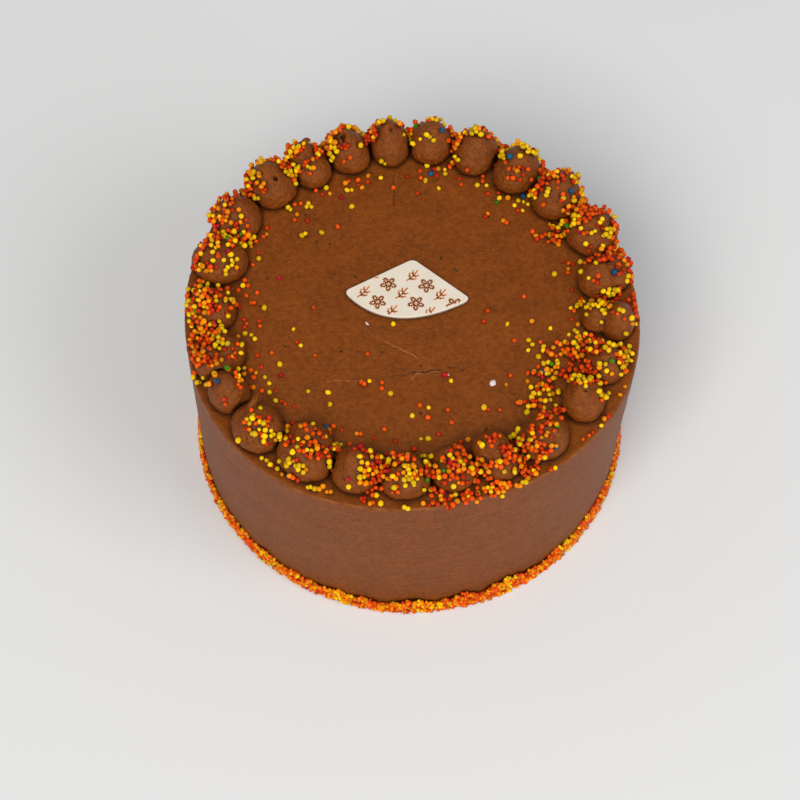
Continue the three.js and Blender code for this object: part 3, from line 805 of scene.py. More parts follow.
# Handfuls of beads from the front: bearing and reach of the middle at AIM_HEIGHT, how far they
# scatter in degrees and in reach, count and mix.
HANDFULS = [
    (5, 79, 5, 1, 10, "mixed"), (4.5, 71, 3.5, 3, 7, "yellow"), (12.5, 73, 1.5, 4, 18, "orange"),
    (14.2, 64, 0.8, 2, 5, "yellow"), (16.5, 77, 3, 1.5, 12, "yellow"), (22, 78, 2, 1.5, 10, "orange"),
    (27, 71.5, 0.8, 2, 7, "yellow"), (25.5, 76.5, 2, 1, 7, "orange"), (31, 78.3, 5, 1, 14, "yellow"),
    (34, 69, 4, 3.5, 10, "red"), (42, 76, 2.5, 2, 22, "orange"), (41.5, 70, 1.5, 3, 9, "red"),
    (43.5, 64, 0.8, 1, 3, "yellow"), (49, 79.3, 5, 1, 9, "mixed"), (47, 70, 4, 4, 10, "red"),
    (53, 75, 1.5, 2, 7, "yellow"), (56, 78, 3, 2, 18, "orange"), (57, 71, 2.5, 3, 31, "orange"),
    (58.5, 64.5, 2, 3, 18, "mixed"), (60.5, 59, 2.5, 2, 11, "orange"), (66, 76, 2.5, 2, 10, "yellow"),
    (64, 71, 4, 4, 9, "mixed"), (68.5, 68, 1, 1, 3, "yellow"), (72.5, 74, 1.8, 3.5, 22, "orange"),
    (74, 68, 1.5, 3, 10, "red"), (78, 76.5, 4, 3, 11, "red"), (80, 66, 3, 3, 5, "mixed"),
    (85.5, 71, 1, 2, 11, "yellow"), (87.3, 70, 1.2, 4, 15, "red"), (89.3, 64.5, 1, 4, 18, "yellow"),
    (92, 69, 2.5, 4, 9, "yellow"), (89, 79, 2, 1.2, 9, "orange"), (97, 76, 3.5, 2, 5, "yellow"),
    (102.5, 65, 1.5, 4, 22, "mixed"), (104, 71, 2, 3, 11, "mixed"), (104, 77.5, 1.5, 2, 11, "yellow"),
    (108.5, 78, 1.5, 1.5, 11, "yellow"), (108, 60, 2, 2.5, 22, "orange"),
    (106, 64.5, 1.5, 2, 12, "orange"), (112, 68, 2, 2.5, 16, "orange"), (112, 73, 3, 2, 8, "mixed"),
    (116, 62.5, 2.2, 2, 31, "orange"), (116.5, 66.5, 1.5, 2.5, 18, "yellow"),
    (112, 52.5, 2, 1.5, 3, "red"), (116, 56, 3, 2.5, 14, "mixed"), (122, 54.5, 3.5, 3, 9, "mixed"),
    (124, 60, 4, 2.5, 9, "mixed"), (129, 58, 3, 3, 5, "yellow"), (133, 57, 4, 3, 7, "red"),
    (129.5, 66, 1.5, 1.5, 9, "red"), (119, 76.5, 1.5, 2, 7, "yellow"), (120, 81.5, 5, 0.6, 4, "orange"),
    (128, 81, 3, 0.8, 5, "orange"), (134, 65.5, 2, 2.5, 13, "orange"), (139, 67, 3, 3, 15, "orange"),
    (141, 70.5, 2.5, 2, 22, "orange"), (141, 75, 2.5, 1, 11, "orange"),
    (144.5, 65.5, 1.5, 2, 10, "yellow"), (148.5, 68, 2.5, 2.5, 31, "orange"),
    (148, 73, 1.5, 2, 10, "orange"), (151.5, 60.5, 2, 1.5, 8, "orange"), (156, 61, 1, 1, 5, "red"),
    (154, 70, 4, 1.2, 24, "orange"), (151, 74, 2, 1, 3, "yellow"), (147.5, 78, 1.5, 1.5, 13, "orange"),
    (151, 80.5, 1.2, 0.7, 7, "yellow"), (143, 81.5, 1.5, 0.6, 3, "orange"),
    (159.5, 70, 1.8, 3, 24, "orange"), (157.5, 78.8, 2.5, 1.7, 22, "orange"),
    (165.5, 79, 2.5, 1.7, 23, "orange"), (166.5, 63.5, 2.5, 2.5, 19, "mixed"),
    (167, 68.5, 3, 2, 33, "orange"), (167, 73, 2, 1, 5, "orange"), (163, 62.5, 1.5, 2.5, 9, "orange"),
    (173.5, 63, 2, 1.5, 10, "yellow"), (172.5, 67.5, 2, 2, 20, "orange"), (173, 75, 2, 2, 9, "red"),
    (182, 61, 3, 2, 16, "orange"), (178.5, 65.5, 2, 2.5, 22, "mixed"),
    (180.5, 70, 3.5, 1.8, 11, "yellow"), (183, 74, 1, 1, 3, "orange"), (187.8, 63, 1.5, 2, 13, "mixed"),
    (188, 68, 1.5, 2.5, 20, "orange"), (188.5, 75, 1.5, 2, 8, "red"), (193.5, 61, 2.5, 1.5, 10, "red"),
    (192.3, 69, 1.2, 3, 13, "yellow"), (190.5, 71, 1.2, 1.5, 7, "orange"),
    (203, 63, 1.5, 1.5, 8, "yellow"), (201.5, 70, 1, 2.5, 5, "mixed"), (213, 61, 5, 2, 11, "orange"),
    (208, 65, 3, 2, 15, "orange"), (209.5, 68, 2.5, 1.5, 13, "red"), (215, 69, 2, 2, 9, "mixed"),
    (211, 75, 3, 1.5, 13, "yellow"), (219.5, 67, 1, 3, 10, "yellow"), (227, 68, 2.5, 2, 12, "mixed"),
    (225.5, 73, 2.5, 1.8, 11, "mixed"), (221, 70.5, 1.5, 2.5, 6, "yellow"),
    (217, 80, 3, 0.6, 5, "mixed"), (209, 80, 2, 0.8, 5, "orange"),
    (201.5, 80, 2.5, 1.2, 7, "yellow"), (190.5, 79.5, 1.5, 1, 5, "red"),
    (182, 80.3, 4, 0.5, 3, "mixed"), (173, 79, 2.5, 1, 11, "orange"), (170, 82, 1.5, 0.5, 3, "orange"),
    (240.5, 67, 1, 1, 3, "orange"), (238, 73.5, 1, 1, 2, "orange"), (244.5, 75, 1.5, 2, 7, "mixed"),
    (244, 65.5, 3, 2, 8, "mixed"), (247, 80, 1.2, 0.5, 4, "yellow"), (254.5, 76, 3, 2, 40, "orange"),
    (257.5, 72, 2.5, 2, 29, "orange"), (256, 69, 1.5, 2, 13, "yellow"),
    (250.5, 72, 1.5, 2, 11, "orange"), (253, 65, 3, 3, 10, "mixed"), (261, 73, 1.8, 3, 35, "orange"),
    (259.5, 67.5, 1.5, 2, 11, "yellow"), (266.5, 76, 2.5, 1.2, 15, "mixed"),
    (266.5, 73, 2.5, 2, 18, "orange"), (272.5, 71.5, 1.8, 3.5, 35, "orange"),
    (269.5, 69, 2, 2, 11, "orange"), (268, 65, 3.5, 2.5, 8, "mixed"),
    (270.5, 62.5, 1, 0.8, 4, "yellow"), (275, 75, 1.2, 1.5, 4, "orange"),
    (271.5, 78, 2.5, 0.8, 5, "yellow"), (275.5, 68, 1, 4, 3, "yellow"), (281, 74, 1, 3, 15, "orange"),
    (284, 65, 2.5, 2.5, 8, "yellow"), (286.5, 71, 3, 3, 11, "red"), (290, 74.5, 1.5, 2.5, 18, "mixed"),
    (292.5, 69, 1.8, 3, 31, "mixed"), (292.8, 63, 0.8, 1.2, 9, "yellow"),
    (285, 77.5, 3, 0.8, 9, "orange"), (298.5, 76, 2.5, 1.5, 17, "orange"),
    (302.5, 77, 1.5, 1.5, 8, "orange"), (306, 77.5, 2, 0.8, 9, "orange"),
    (297.5, 69.5, 2.5, 3, 9, "orange"), (295, 66, 1.5, 2.5, 8, "mixed"),
    (309.5, 76, 1, 1, 5, "orange"), (308, 71.5, 0.8, 1, 4, "yellow"),
    (313.5, 77, 1.2, 1.2, 8, "yellow"), (311.8, 73, 1, 1.8, 11, "orange"),
    (317.5, 80.5, 1, 0.5, 4, "yellow"), (324.5, 76.5, 2.5, 1.2, 18, "mixed"),
    (322.5, 70.5, 1.6, 1.5, 17, "yellow"), (322, 71.5, 1.5, 2, 16, "red"),
    (321.3, 66.8, 0.6, 0.6, 2, "yellow"), (327.5, 77, 1.5, 1.5, 10, "orange"),
    (329, 70.5, 2.5, 0.8, 9, "red"), (327.5, 67.5, 1, 1, 3, "yellow"), (335, 76, 2, 2, 33, "orange"),
    (333.5, 73.5, 1.3, 1.8, 20, "orange"), (336.5, 71.5, 1.2, 1.5, 7, "yellow"),
    (334.8, 67.5, 0.8, 0.8, 2, "yellow"), (338.5, 79, 2.2, 1.2, 24, "orange"),
    (344, 78.3, 1.5, 0.8, 11, "yellow"), (340, 70.8, 1.2, 1, 5, "red"),
    (344.8, 70.3, 0.8, 0.8, 3, "red"), (348.3, 77.5, 1, 2, 20, "orange"),
    (348, 73.5, 1.2, 2, 22, "red"), (346, 76, 1, 1, 4, "yellow"), (353.5, 80, 2.5, 0.7, 14, "yellow"),
    (351, 78, 1, 1, 7, "yellow"), (357.8, 77, 1, 0.8, 8, "orange"), (0.3, 75.5, 0.5, 0.7, 3, "yellow"),
]

# Handfuls on the back of the ring, thrown from outside: bearing, height over the cake, scatter in
# degrees and in height, count and mix.
OUTER_HANDFULS = [
    (6, 4, 5, 2.5, 16, "mixed"), (12, 4, 2, 3, 12, "orange"), (19, 4, 5, 2.5, 16, "mixed"),
    (27, 4, 2, 3, 12, "yellow"), (33, 4, 5, 2.5, 14, "mixed"), (41, 4, 3, 3, 18, "orange"),
    (48, 4, 5, 2.5, 18, "mixed"), (56, 4, 3, 3, 20, "mixed"), (64, 4, 5, 2.5, 14, "mixed"),
    (72, 4, 3, 3, 16, "orange"), (79, 4, 4, 2.5, 10, "red"), (88, 3, 4, 2, 8, "orange"),
    (294, 4, 4, 3, 16, "mixed"), (301, 4, 5, 2.5, 16, "orange"), (309, 4, 3, 3, 16, "orange"),
    (317, 4, 5, 2.5, 14, "mixed"), (324, 4, 3, 3, 22, "orange"), (331, 4, 4, 2.5, 14, "orange"),
    (336, 4, 2.5, 3, 18, "orange"), (342, 4, 4, 2.5, 20, "orange"), (348, 4, 2, 3, 18, "red"),
    (354, 4, 4, 2.5, 12, "yellow"), (359.5, 4, 2, 3, 10, "orange"),
]

# Beads on the flat of the top, one by one: x and y in millimetres.
FLAT_BEADS = {
    "yellow": [
        (-60.8, 28.5), (-59.5, 28), (-54.2, 22.2), (-59.4, 10.7), (-51.4, 1.6), (-57.7, -9.2),
        (-55.5, -9.7), (-54.2, -11.3), (-58.4, -14.1), (-58.6, -17), (-45, -21.5), (-57.2, -25.5),
        (-50, -26.8), (-48.4, -29.2), (-48.2, -32.8), (-45.9, -36.1), (-40.8, -7.1), (-38, -13.8),
        (-34.8, -32.2), (-27.9, -32.6), (-27.1, -37.3), (-13.7, -27.8), (-6.3, -32.7), (6.9, -38.1),
        (1.3, -41.4), (-28.2, -49.8), (4.4, -50.4), (6.9, -50.3), (-23, -53.1), (14.6, -27.3),
        (26, -37.7), (38.3, -35.6), (43.4, -23.1), (45, -17.2), (42.3, -29.5), (43, -28.8),
        (44.4, -29.3), (42.5, -33.6), (46.6, -37.7), (51.2, 17.1), (60.6, 22.4), (56.7, 3), (59.1, 4.2),
        (61.9, 3), (62, 0.2), (57.9, -6.2), (58.7, -6.9), (59.4, -8.6), (55.8, -8), (61.7, -7.7),
        (34.3, -4), (49.4, -5.5), (41.7, -10.5), (43, -12.2), (41.5, -14.6), (46.9, -12.9),
        (46.7, -14.5), (58.6, -12.2), (63.1, -10.5), (12, 61.7), (12.2, 59.8), (23.8, 54.9),
        (27.2, 54.9), (31.8, 49.4), (37.3, 46.3), (38.7, 48.4), (40.6, 47.9), (42.2, 46.9),
        (40.2, 44.1), (44.5, 51.9), (44.6, 49.2), (49.8, 33.7), (5.5, 63.4), (5, 56.7), (9.8, 53.4),
        (-11.3, 57.7), (-11, 65), (-23.4, 52.1), (-21.7, 52.2), (-21.5, 45), (-31, 53), (-44.5, 44.2),
        (-43.6, 43.5), (-37.3, 46), (-37.9, 44.6), (-36.1, 44.6), (-56.6, 31.6), (-39.1, 32.2),
        (-37.9, 33.1), (-32.1, 33.6), (-42.3, 54.2), (-41.3, 54.9), (-5.8, -4.5),
    ],
    "amber": [
        (-57.2, 30.6), (-57.2, 27.2), (-53.2, -25), (-53.9, -30.9), (-27.2, -47.3), (-17.7, -48.7),
        (33.7, -28.5), (20.6, -50.5), (41.1, -27.1), (45.5, -34.5), (56.2, 19.3), (59.1, -3.8),
        (42.9, -2.7), (52.7, -12), (50.3, -13.4), (62.1, -13.5), (34.9, 49.5), (27.6, 42.6),
        (33.2, 39.6), (44.8, 33.3), (49.8, 38.2), (9.6, 62), (-15.9, 58.5), (-18, 53.3), (-24.1, 55.2),
        (-29.6, 50.5), (-41.2, 41.3), (-51.8, 32.6), (-43.7, 57.4),
    ],
    "orange": [
        (-55.5, 29.5), (-56.2, 19.5), (-58.8, 13), (-57.5, 10.7), (-60.9, 8.7), (-54.2, 7.8),
        (-58, 6.5), (-56, 3.5), (-55, 3.7), (-57.3, -5.1), (-52.6, -6), (-34, 2), (-48, -16.9),
        (-55, -24), (-54, -26.9), (-57.8, -31), (-50.8, -32.2), (-42.6, -37.4), (-32.8, -17.7),
        (-14.6, -16.8), (-16.4, -28.2), (-15.5, -28.8), (-9.3, -28.3), (-9.4, -30.7), (3.9, -37.2),
        (6.7, -42), (-8.2, -46.8), (-25.7, -45.9), (-16.3, -48.7), (-20, -52.8), (33.8, -27.1),
        (35.2, -24.9), (13.6, -38.9), (14.9, -43.9), (31.5, -38.7), (18.1, -51.5), (15.7, -53),
        (41.2, -23.8), (40.6, -25.9), (44.9, -21.2), (56.4, 21.8), (56.1, 17.8), (57.9, 1.9),
        (40.3, 7.5), (27.4, 1.4), (36.7, -10.7), (45.8, -11.2), (51.5, -11.1), (62, -10.7),
        (13.9, 62.9), (18, 55.1), (25.9, 58.8), (25.8, 56.8), (34.3, 38.9), (43.6, 35.1), (47, 32.9),
        (20.2, 61.5), (35.1, 61.2), (34.6, 57.5), (42.9, 57.1), (47.5, 46.1), (3, 60.9), (3.3, 57.9),
        (-6.7, 53.5), (-19.5, 56.6), (-22.8, 56.2), (-26.4, 36.2), (-34.7, 51.8), (-42.1, 45.6),
        (-40, 46.1), (-42, 38.9), (-52.9, 31.5), (-36.7, 58.5), (-24.6, 64.1),
    ],
    "scarlet": [
        (-57, 29.1), (-54.5, 24.7), (-60.1, 1.7), (-58.3, -3.4), (-52.9, -3.9), (-58, -6.6), (-53, -18),
        (-51.4, -22.6), (-55, -30.7), (-45.8, -32.2), (-43.8, -36.3), (-39.5, -38.3), (-39.4, -12.4),
        (-15.1, -29.6), (-22.8, -47.4), (-11.7, -50.3), (-4.2, -51.4), (27.5, -38.5), (10.4, -48.5),
        (21.3, -48.9), (44, -35), (41.8, -37.1), (54.3, 22.6), (58, 21.3), (57.4, 10.5), (60.7, 6.8),
        (57, -1.7), (26, -3), (54.4, -14.3), (57.1, -14.4), (60.6, -10.9), (17.4, 57.7), (27.8, 51.3),
        (31.5, 51.7), (38.5, 44.1), (26.8, 41.4), (45.1, 32), (-1.6, 58.4), (9, 58.9), (2.1, 51.1),
        (-16, 55.9), (-19.3, 54.5), (-22.7, 57.6), (-32.3, 50.1), (-37.3, 38.7), (-51.8, 35.3),
    ],
    "crimson": [
        (-44.4, -25.9), (-46.6, 14), (12.5, -25), (8.2, 61.9), (8.8, 60.5), (-25.4, 48.8),
    ],
    "blue": [
        (-28.2, -46.1), (46.9, -22.9), (6.9, 59.8), (40.5, 50.3),
    ],
    "green": [
        (30.8, 47.5),
    ],
}
# Single beads on the dollops: bearing, reach and colour.
SINGLES = [
    (8, 74.5, "blue"), (30, 71.5, "blue"), (50, 74.5, "blue"), (79, 73, "blue"), (103, 68.5, "blue"),
    (138.5, 75.5, "blue"), (243.5, 72.5, "blue"), (49.5, 76, "green"), (55.5, 76.5, "green"),
    (60, 80, "green"), (112.5, 66, "green"), (134, 69.5, "green"), (164.5, 62, "green"),
    (174.5, 70, "green"), (351, 79, "green"), (63, 67, "crimson"), (196, 72, "crimson"),
    (338, 74, "crimson"), (286, 76.5, "crimson"), (167, 64.5, "crimson"), (138, 66.5, "crimson"),
    (351, 61, "yellow"), (357.3, 71.8, "yellow"), (325.5, 65.5, "orange"), (330, 77.8, "yellow"),
    (340, 65.8, "orange"), (226, 79.5, "yellow"), (229, 72, "yellow"), (239, 67, "yellow"),
    (157, 82.3, "yellow"), (195.5, 75, "yellow"), (302, 72.5, "amber"), (283, 63, "amber"),
    (280, 66, "yellow"),
]
# How far single beads vary in radius, in breadth and in height, and how lumpy they are.
BEAD_RADII = (0.82, 1.18)
BEAD_BREADTHS = (0.86, 1.18)
BEAD_HEIGHTS = (0.8, 1.0)
BEAD_LUMP = 0.05
# How deep a bead sinks in cream, as a share of its radius: in a dollop, and on the flat top, which
# ends at this height over it.
CREAM_SINK = 0.5
FLAT_SINK = 0.72
FLAT_REACH = 0.8 * MM
# Beads that meet keep this share of their distance, and none comes nearer than CROWDED of that. No
# bead rests farther from the cream than PILE_LIMIT radii, or lower than LOWEST_REST under the top.
BEAD_CRUSH = 0.86
CROWDED = 0.94
PILE_LIMIT = 1.75
LOWEST_REST = 2 * MM
# The spread of a throw and its limit, as shares of the scatter that a handful gives.
THROW_SPREAD = 0.7
THROW_LIMIT = 1.4
THROW_LENGTH = 90 * MM
AIM_HEIGHT = CAKE_HEIGHT + 7 * MM
FLAT_AIM_HEIGHT = CAKE_HEIGHT + 0.3 * MM
THROW_WAY = Vector((-0.007, 0.495, -0.869)).normalized()
OUTSIDE_TILT = math.radians(35)
OUTSIDE_REACH = 77 * MM
# Tries that a bead gets to find a free place.
FLAT_TRIES = 1
SINGLE_TRIES = 4
HANDFUL_TRIES = 8
SINGLE_SCATTER = 0.2


def tree_of(pieces):
    verts, faces = [], []
    for piece in pieces:
        start = len(verts)
        verts += [vert.co.copy() for vert in piece.data.vertices]
        faces += [[start + i for i in polygon.vertices] for polygon in piece.data.polygons]
    return BVHTree.FromPolygons(verts, faces)


def fly_bead(cream, centres, radii, aim, way, radius):
    origin = aim - way * THROW_LENGTH
    spot, normal, _, _ = cream.ray_cast(origin, way)
    if spot is None or spot.z < CAKE_HEIGHT - LOWEST_REST:
        return None
    sink = FLAT_SINK if spot.z < CAKE_HEIGHT + FLAT_REACH else CREAM_SINK
    centre = spot + normal * radius * (1 - sink)
    if centres:
        others = np.array(centres)
        touching = BEAD_CRUSH * (radius + np.array(radii))
        to_others = others - np.array(origin)
        ahead = to_others @ np.array(way)
        aside = (to_others ** 2).sum(axis=1) - ahead ** 2
        meets = aside < touching ** 2
        if meets.any():
            stop = (ahead[meets] - np.sqrt(touching[meets] ** 2 - aside[meets])).min()
            if stop < (centre - origin).dot(way):
                centre = origin + way * stop
        if (np.linalg.norm(others - np.array(centre), axis=1) < CROWDED * touching).any():
            return None
    if cream.find_nearest(centre)[3] > PILE_LIMIT * radius:
        return None
    return centre


def draw_colour(mix, luck):
    return luck.choices(list(MIXES[mix]), list(MIXES[mix].values()))[0]


def short_throw(luck):
    return max(-THROW_LIMIT, min(THROW_LIMIT, luck.gauss(0, THROW_SPREAD)))


def bead_ball():
    ball = bmesh.new()
    bmesh.ops.create_icosphere(ball, subdivisions=2, radius=1)
    verts = np.array([vert.co for vert in ball.verts])
    faces = np.array([[vert.index for vert in face.verts] for face in ball.faces])
    ball.free()
    return verts, faces


BALL_VERTS, BALL_FACES = bead_ball()


def joined_beads(name, beads, luck):
    verts, faces, shades = [], [], []
    for centre, radius in beads:
        angle = luck.uniform(0, 6.28)
        turn = Matrix.Rotation(angle, 3, Vector((luck.gauss(0, 1), luck.gauss(0, 1), 1)))
        squash = radius * np.array([1, luck.uniform(*BEAD_BREADTHS), luck.uniform(*BEAD_HEIGHTS)])
        lumps = np.sin(BALL_VERTS @ np.array([2.1, 3.3, 1.7]) + luck.uniform(0, 6.28))
        lump = 1 + BEAD_LUMP * lumps[:, None]
        faces.append(BALL_FACES + len(verts) * len(BALL_VERTS))
        verts.append((BALL_VERTS * lump * squash) @ np.array(turn).T + np.array(centre))
        shades += [luck.random()] * len(BALL_VERTS)
    mesh = bpy.data.meshes.new(name)
    mesh.from_pydata(np.concatenate(verts).tolist(), [], np.concatenate(faces).tolist())
    mesh.polygons.foreach_set("use_smooth", [True] * len(mesh.polygons))
    add_shares(mesh, "shade", shades)
    return place_object(name, mesh)


# A bead is lighter or darker as a whole, and over its crust. Its colour goes between these shares
# of its own, and the lightest is also lifted a little.
WHOLE_SHADE = 0.75
CRUST_SHADE = 0.35
DARKEST = 0.52
LIGHTEST = 1.14
LIGHT_LIFT = 0.002


def sugar(name, colour):
    material, nodes, shader = new_material(name)
    crust = cloudy(nodes, place_on_piece(nodes), scale=1800, detail=3, roughness=0.6)
    shade = add_math(nodes, "MULTIPLY", marked_share(nodes, "shade"), WHOLE_SHADE)
    tone = add_math(nodes, "MULTIPLY_ADD", crust, CRUST_SHADE, shade)
    dark = [DARKEST * c for c in colour]
    light = [min(1, LIGHTEST * c + LIGHT_LIFT) for c in colour]
    feed(shader, {
        "Base Color": shade_between(nodes, tone, dark, light), "Roughness": 0.5,
        "Normal": roughen(nodes, crust, strength=0.25, depth=0.08 * MM), "Specular IOR Level": 0.14,
        "Specular Tint": (1.0, 0.8, 0.5, 1), "Subsurface Weight": 0.1,
        "Subsurface Radius": (0.001, 0.0007, 0.0004),
    })
    return material


SUGAR = {name: sugar(f"sugar_{name}", colour) for name, colour in BEAD_COLOURS.items()}

bead_luck = random.Random(5)
cream_tree = tree_of([frosted_drum, plaque_piece] + dollops)
bead_centres, bead_radii = [], []
thrown = {name: [] for name in BEAD_COLOURS}


def throw_bead(kind_name, draw_flight, tries):
    radius = BEAD_RADIUS * BEAD_SIZES[kind_name] * bead_luck.uniform(*BEAD_RADII)
    for _ in range(tries):
        aim, way = draw_flight()
        centre = fly_bead(cream_tree, bead_centres, bead_radii, aim, way, radius)
        if centre is not None:
            bead_centres.append(tuple(centre))
            bead_radii.append(radius)
            thrown[kind_name].append((centre, radius))
            return


def flight_from_front(bearing, reach, spread, scatter):
    aim = polar(
        bearing + spread * short_throw(bead_luck),
        (reach + scatter * short_throw(bead_luck)) * MM,
        AIM_HEIGHT,
    )
    return aim, THROW_WAY


def flight_from_outside(bearing, height, spread, scatter):
    turn = bearing + spread * short_throw(bead_luck)
    rise = (height + scatter * short_throw(bead_luck)) * MM
    aim = polar(turn, OUTSIDE_REACH, CAKE_HEIGHT + rise)
    way = polar(turn + 180, math.cos(OUTSIDE_TILT), -math.sin(OUTSIDE_TILT))
    return aim, way


for kind_name, places in FLAT_BEADS.items():
    for x, y in places:
        aim = Vector((x * MM, y * MM, FLAT_AIM_HEIGHT))
        throw_bead(kind_name, lambda: (aim, THROW_WAY), FLAT_TRIES)
for *place, kind_name in SINGLES:
    throw_bead(kind_name, lambda: flight_from_front(*place, SINGLE_SCATTER, SINGLE_SCATTER), SINGLE_TRIES)
for draw_flight, handfuls in ((flight_from_front, HANDFULS), (flight_from_outside, OUTER_HANDFULS)):
    for *flight, count, mix in handfuls:
        for _ in range(count):
            throw_bead(draw_colour(mix, bead_luck), lambda: draw_flight(*flight), HANDFUL_TRIES)
for kind_name, beads in thrown.items():
    thrown_piece = joined_beads(f"thrown_beads_{kind_name}", beads, bead_luck)
    thrown_piece.data.materials.append(SUGAR[kind_name])
    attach(thrown_piece, "root")

# The strays on the top: two flakes of white sugar, a small pale speck that is a painted highlight, and a
# few crumbs of dark cocoa that were dragged along under the palette knife. Each is a flattened lump pressed
# into the frosting.

# Place, length, width and turn of each. The last and smallest is the painted highlight.
FLAKES_AND_HIGHLIGHT_SPECK = [(29.1, -27.8, 2.7, 2.2, 70), (-15.1, -4.2, 1.8, 0.7, -50), (13.6, -24.6, 0.8, 0.6, 0)]
COCOA_CRUMBS = [
    (10.8, 23.3, 1.8, 0.7, 75), (16.1, 18.6, 2.4, 0.7, -35), (-19.5, 15.3, 1.7, 1.0, -40),
    (3.4, 51.1, 0.8, 0.6, 20), (5, 51.1, 0.8, 0.6, 0), (4.1, -40.1, 1.3, 0.9, 0),
    (26.7, -46.1, 1.2, 1.0, 30), (-9.6, -15.9, 1.2, 0.6, 20), (-50.8, 14, 1.0, 0.6, 60),
    (-28, 14.5, 0.9, 0.6, 0), (29.1, 12.4, 0.8, 0.5, 40), (-13.5, 39, 0.8, 0.6, 10),
]
FLAKE_RISE = 0.5 * MM
CRUMB_RISE = 0.22 * MM


def lay_flecks(name, flecks, rise):
    bm = bmesh.new()
    for x, y, length, width, turn in flecks:
        spot = cream_tree.ray_cast(Vector((x * MM, y * MM, 1)), Vector((0, 0, -1)))[0]
        lump = (
            Matrix.Translation(spot)
            @ Matrix.Rotation(math.radians(turn), 4, "Z")
            @ Matrix.Diagonal((length * MM / 2, width * MM / 2, rise, 1))
        )
        bmesh.ops.create_icosphere(bm, subdivisions=3, radius=1, matrix=lump)
    for vert in bm.verts:
        vert.co.xy += Vector((wavy(vert.co, 0.5 * MM), wavy(vert.co, 0.5 * MM, 4.0))) * 0.35 * MM
    piece = finish_mesh(bm, name)
    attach(piece, "root")
    return piece


def fleck_finish(name, dark, light):
    material, nodes, shader = new_material(name)
    cloud = cloudy(nodes, place_on_piece(nodes), scale=1500, detail=2)
    colour = shade_between(nodes, cloud, dark, light)
    feed(shader, {"Base Color": colour, "Roughness": 0.6, "Specular IOR Level": 0.12})
    return material


sugar_flakes_and_highlight_speck = lay_flecks("sugar_flakes_and_highlight_speck", FLAKES_AND_HIGHLIGHT_SPECK, FLAKE_RISE)
white_sugar_and_highlight = fleck_finish("white_sugar_and_highlight", dark=(0.55, 0.45, 0.42), light=(0.8, 0.72, 0.7))
sugar_flakes_and_highlight_speck.data.materials.append(white_sugar_and_highlight)
cocoa_crumbs = lay_flecks("cocoa_crumbs", COCOA_CRUMBS, CRUMB_RISE)
dark_cocoa = fleck_finish("dark_cocoa", dark=(0.026, 0.018, 0.002), light=(0.06, 0.034, 0.005))
cocoa_crumbs.data.materials.append(dark_cocoa)

# The band of beads round the foot: the same beads, pressed against the wall by the handful, so that
# they stand two or three high and ragged. They lie over a low core of packed beads.

BAND_WIDTH = 1.9 * MM
BAND_HEIGHT = 3.6 * MM
BAND_GAP = 0.05 * MM
# The core in section, as shares of the band's width and height, and how far it clears the ground.
CORE_SECTION = [(0, 0), (0.8, 0), (0.8, 0.35), (0.45, 0.8), (0, 0.85), (0, 0)]
CORE_LIFT = 0.02 * MM
CORE_STEPS = 220
CORE_TALLNESS = 0.9


# The heap stands highest along the front, and rises and falls in seven and in seventeen waves.
def raggedness(bearing):
    turn = math.radians(bearing)
    return 1.15 - 0.3 * math.cos(turn) + 0.14 * math.sin(7 * turn) + 0.1 * math.sin(17 * turn)


# The heap spreads widest along the front, a little to the right of it most.
def heap_spread(bearing):
    turn = math.radians(bearing)
    front = math.sqrt(max(0.0, -math.cos(turn)))
    return 0.5 + front * (0.5 + 0.08 * math.sin(turn))


band_bm = bmesh.new()
inner = FOOT_RADIUS + BAND_GAP
core_profile = [(inner + out * BAND_WIDTH, max(CORE_LIFT, up * BAND_HEIGHT)) for out, up in CORE_SECTION]
spin_profile(band_bm, core_profile, CORE_STEPS)
for vert in band_bm.verts:
    bearing = bearing_of(vert.co.x, vert.co.y)
    reach = inner + (math.hypot(vert.co.x, vert.co.y) - inner) * heap_spread(bearing)
    vert.co = polar(bearing, reach, CORE_TALLNESS * vert.co.z * raggedness(bearing))
band_core = finish_mesh(band_bm, "band_core")
band_core.data.materials.append(SUGAR["orange"])
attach(band_core, "root")
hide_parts("sprinkle_band")

# Higher and lower places in the band: bearing, half width in degrees, and extra height.
BAND_LUMPS = [
    (186, 2.5, -0.3), (178, 4, 0.1), (172, 2, -0.35), (165, 3.5, 0.25), (160, 1.2, -0.5), (157, 1.2, 0.3),
    (151.5, 3.5, 0.45), (145, 1.3, 0.5), (141, 1.5, -0.2), (118, 5, 0.35),
]
BAND_WAVES = (0.45, 6 * MM, 4.0)
# Patches of paler beads, and the strength of the wave at which one starts.
PALE_PATCHES = (9 * MM, 6.0)
PALE_FROM = 0.12
BAND_BEADS = 3200
BAND_BEAD_SIZE = 0.77
BAND_RADII = (0.85, 1.15)
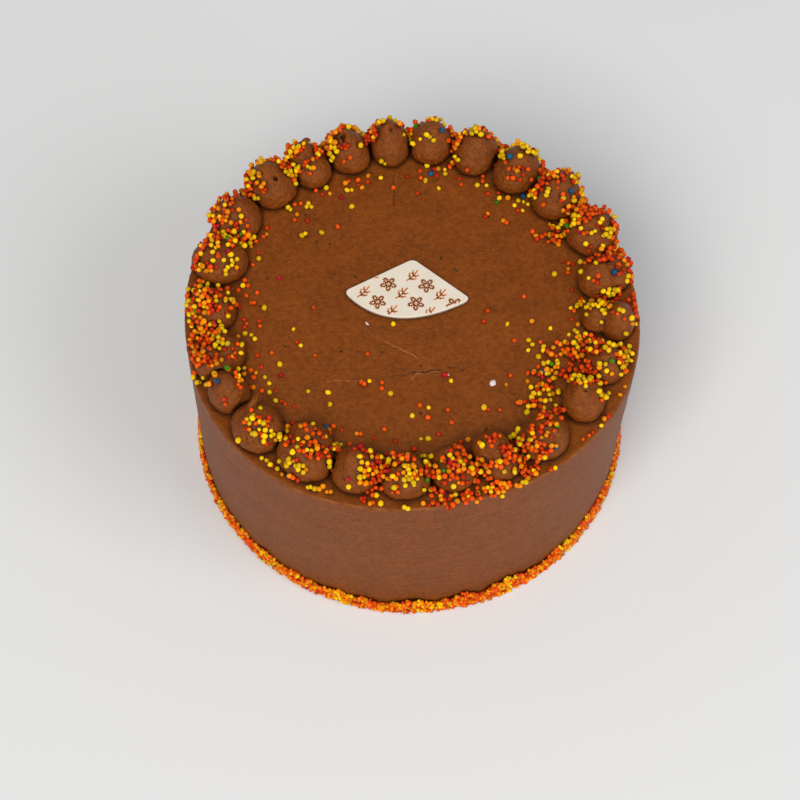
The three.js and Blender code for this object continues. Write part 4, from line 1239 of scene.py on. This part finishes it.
# How much narrower the heap is at its top, and how far beads stray out of it.
BAND_TAPER = 0.55
BAND_STRAY = 0.3 * MM
band_luck = random.Random(3)
pressed = {name: [] for name in BEAD_COLOURS}
for _ in range(BAND_BEADS):
    bearing = band_luck.choice([band_luck.uniform(0, 360), band_luck.uniform(90, 270)])
    heap = sum(tall * math.exp(-((bearing - at) / width) ** 2) for at, width, tall in BAND_LUMPS)
    at_foot = polar(bearing, FOOT_RADIUS)
    thickness = raggedness(bearing) * (1 + heap + swing(at_foot, *BAND_WAVES))
    pale = wavy(at_foot, *PALE_PATCHES) > PALE_FROM
    kind_name = draw_colour("pale band" if pale else "band", band_luck)
    radius = BEAD_RADIUS * BEAD_SIZES[kind_name] * BAND_BEAD_SIZE * band_luck.uniform(*BAND_RADII)
    rise = band_luck.random()
    height = radius + rise * (BAND_HEIGHT * thickness)
    stray = BAND_STRAY * band_luck.gauss(0, 1)
    depth = heap_spread(bearing) * (BAND_WIDTH * (1 - BAND_TAPER * rise) + stray)
    reach = FOOT_RADIUS + max(0.7 * radius, depth)
    pressed[kind_name].append((polar(bearing, reach, height), radius))
for kind_name, beads in pressed.items():
    if not beads:
        continue
    pressed_piece = joined_beads(f"band_beads_{kind_name}", beads, band_luck)
    pressed_piece.data.materials.append(SUGAR[kind_name])
    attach(pressed_piece, "root")

# The floor, the light and the camera: a pale matt floor, one large soft window of light from the
# front, a weak fill, and the camera that the cake is seen by, high in front and looking down.

FLOOR_REACH = 6
LIGHT_AIM = (0, 0, 0.05)
CAMERA_PLACE = Vector((2.9, -455.9, 816.2)) * MM
CAMERA_AIM = Vector((-3.6, 8.6, 0)) * MM
CAMERA_LENS = 110.9

floor_bm = bmesh.new()
bmesh.ops.create_grid(floor_bm, x_segments=1, y_segments=1, size=FLOOR_REACH)
floor = finish_mesh(floor_bm, "floor")
pale_floor, nodes, shader = new_material("pale_floor")
feed(shader, {"Base Color": (0.66, 0.658, 0.655, 1), "Roughness": 0.7})
floor.data.materials.append(pale_floor)

world = bpy.data.worlds.new("studio")
bpy.context.scene.world = world
world.use_nodes = True
feed(world.node_tree.nodes["Background"], {"Color": (0.93, 0.96, 1.0, 1), "Strength": 0.35})


def point_at(thing, place, aim):
    thing.location = place
    thing.rotation_euler = (Vector(aim) - Vector(place)).to_track_quat("-Z", "Y").to_euler()


def add_window(name, place, size, power, colour):
    light = bpy.data.lights.new(name, "AREA")
    light.shape = "SQUARE"
    light.size = size
    light.energy = power
    light.color = colour
    point_at(place_object(name, light), place, LIGHT_AIM)


add_window("front_window", (-0.7, -1.85, 2.4), size=1.6, power=78, colour=(1.0, 0.985, 0.955))
add_window("right_fill", (1.5, -0.9, 1.5), size=1.3, power=22, colour=(0.98, 0.98, 0.98))

camera_data = bpy.data.cameras.new("camera")
camera_data.lens = CAMERA_LENS
camera_data.sensor_width = 36
camera_data.clip_start = 0.01
camera = place_object("camera", camera_data)
point_at(camera, CAMERA_PLACE, CAMERA_AIM)
bpy.context.scene.camera = camera
bpy.context.scene.view_settings.view_transform = "Standard"
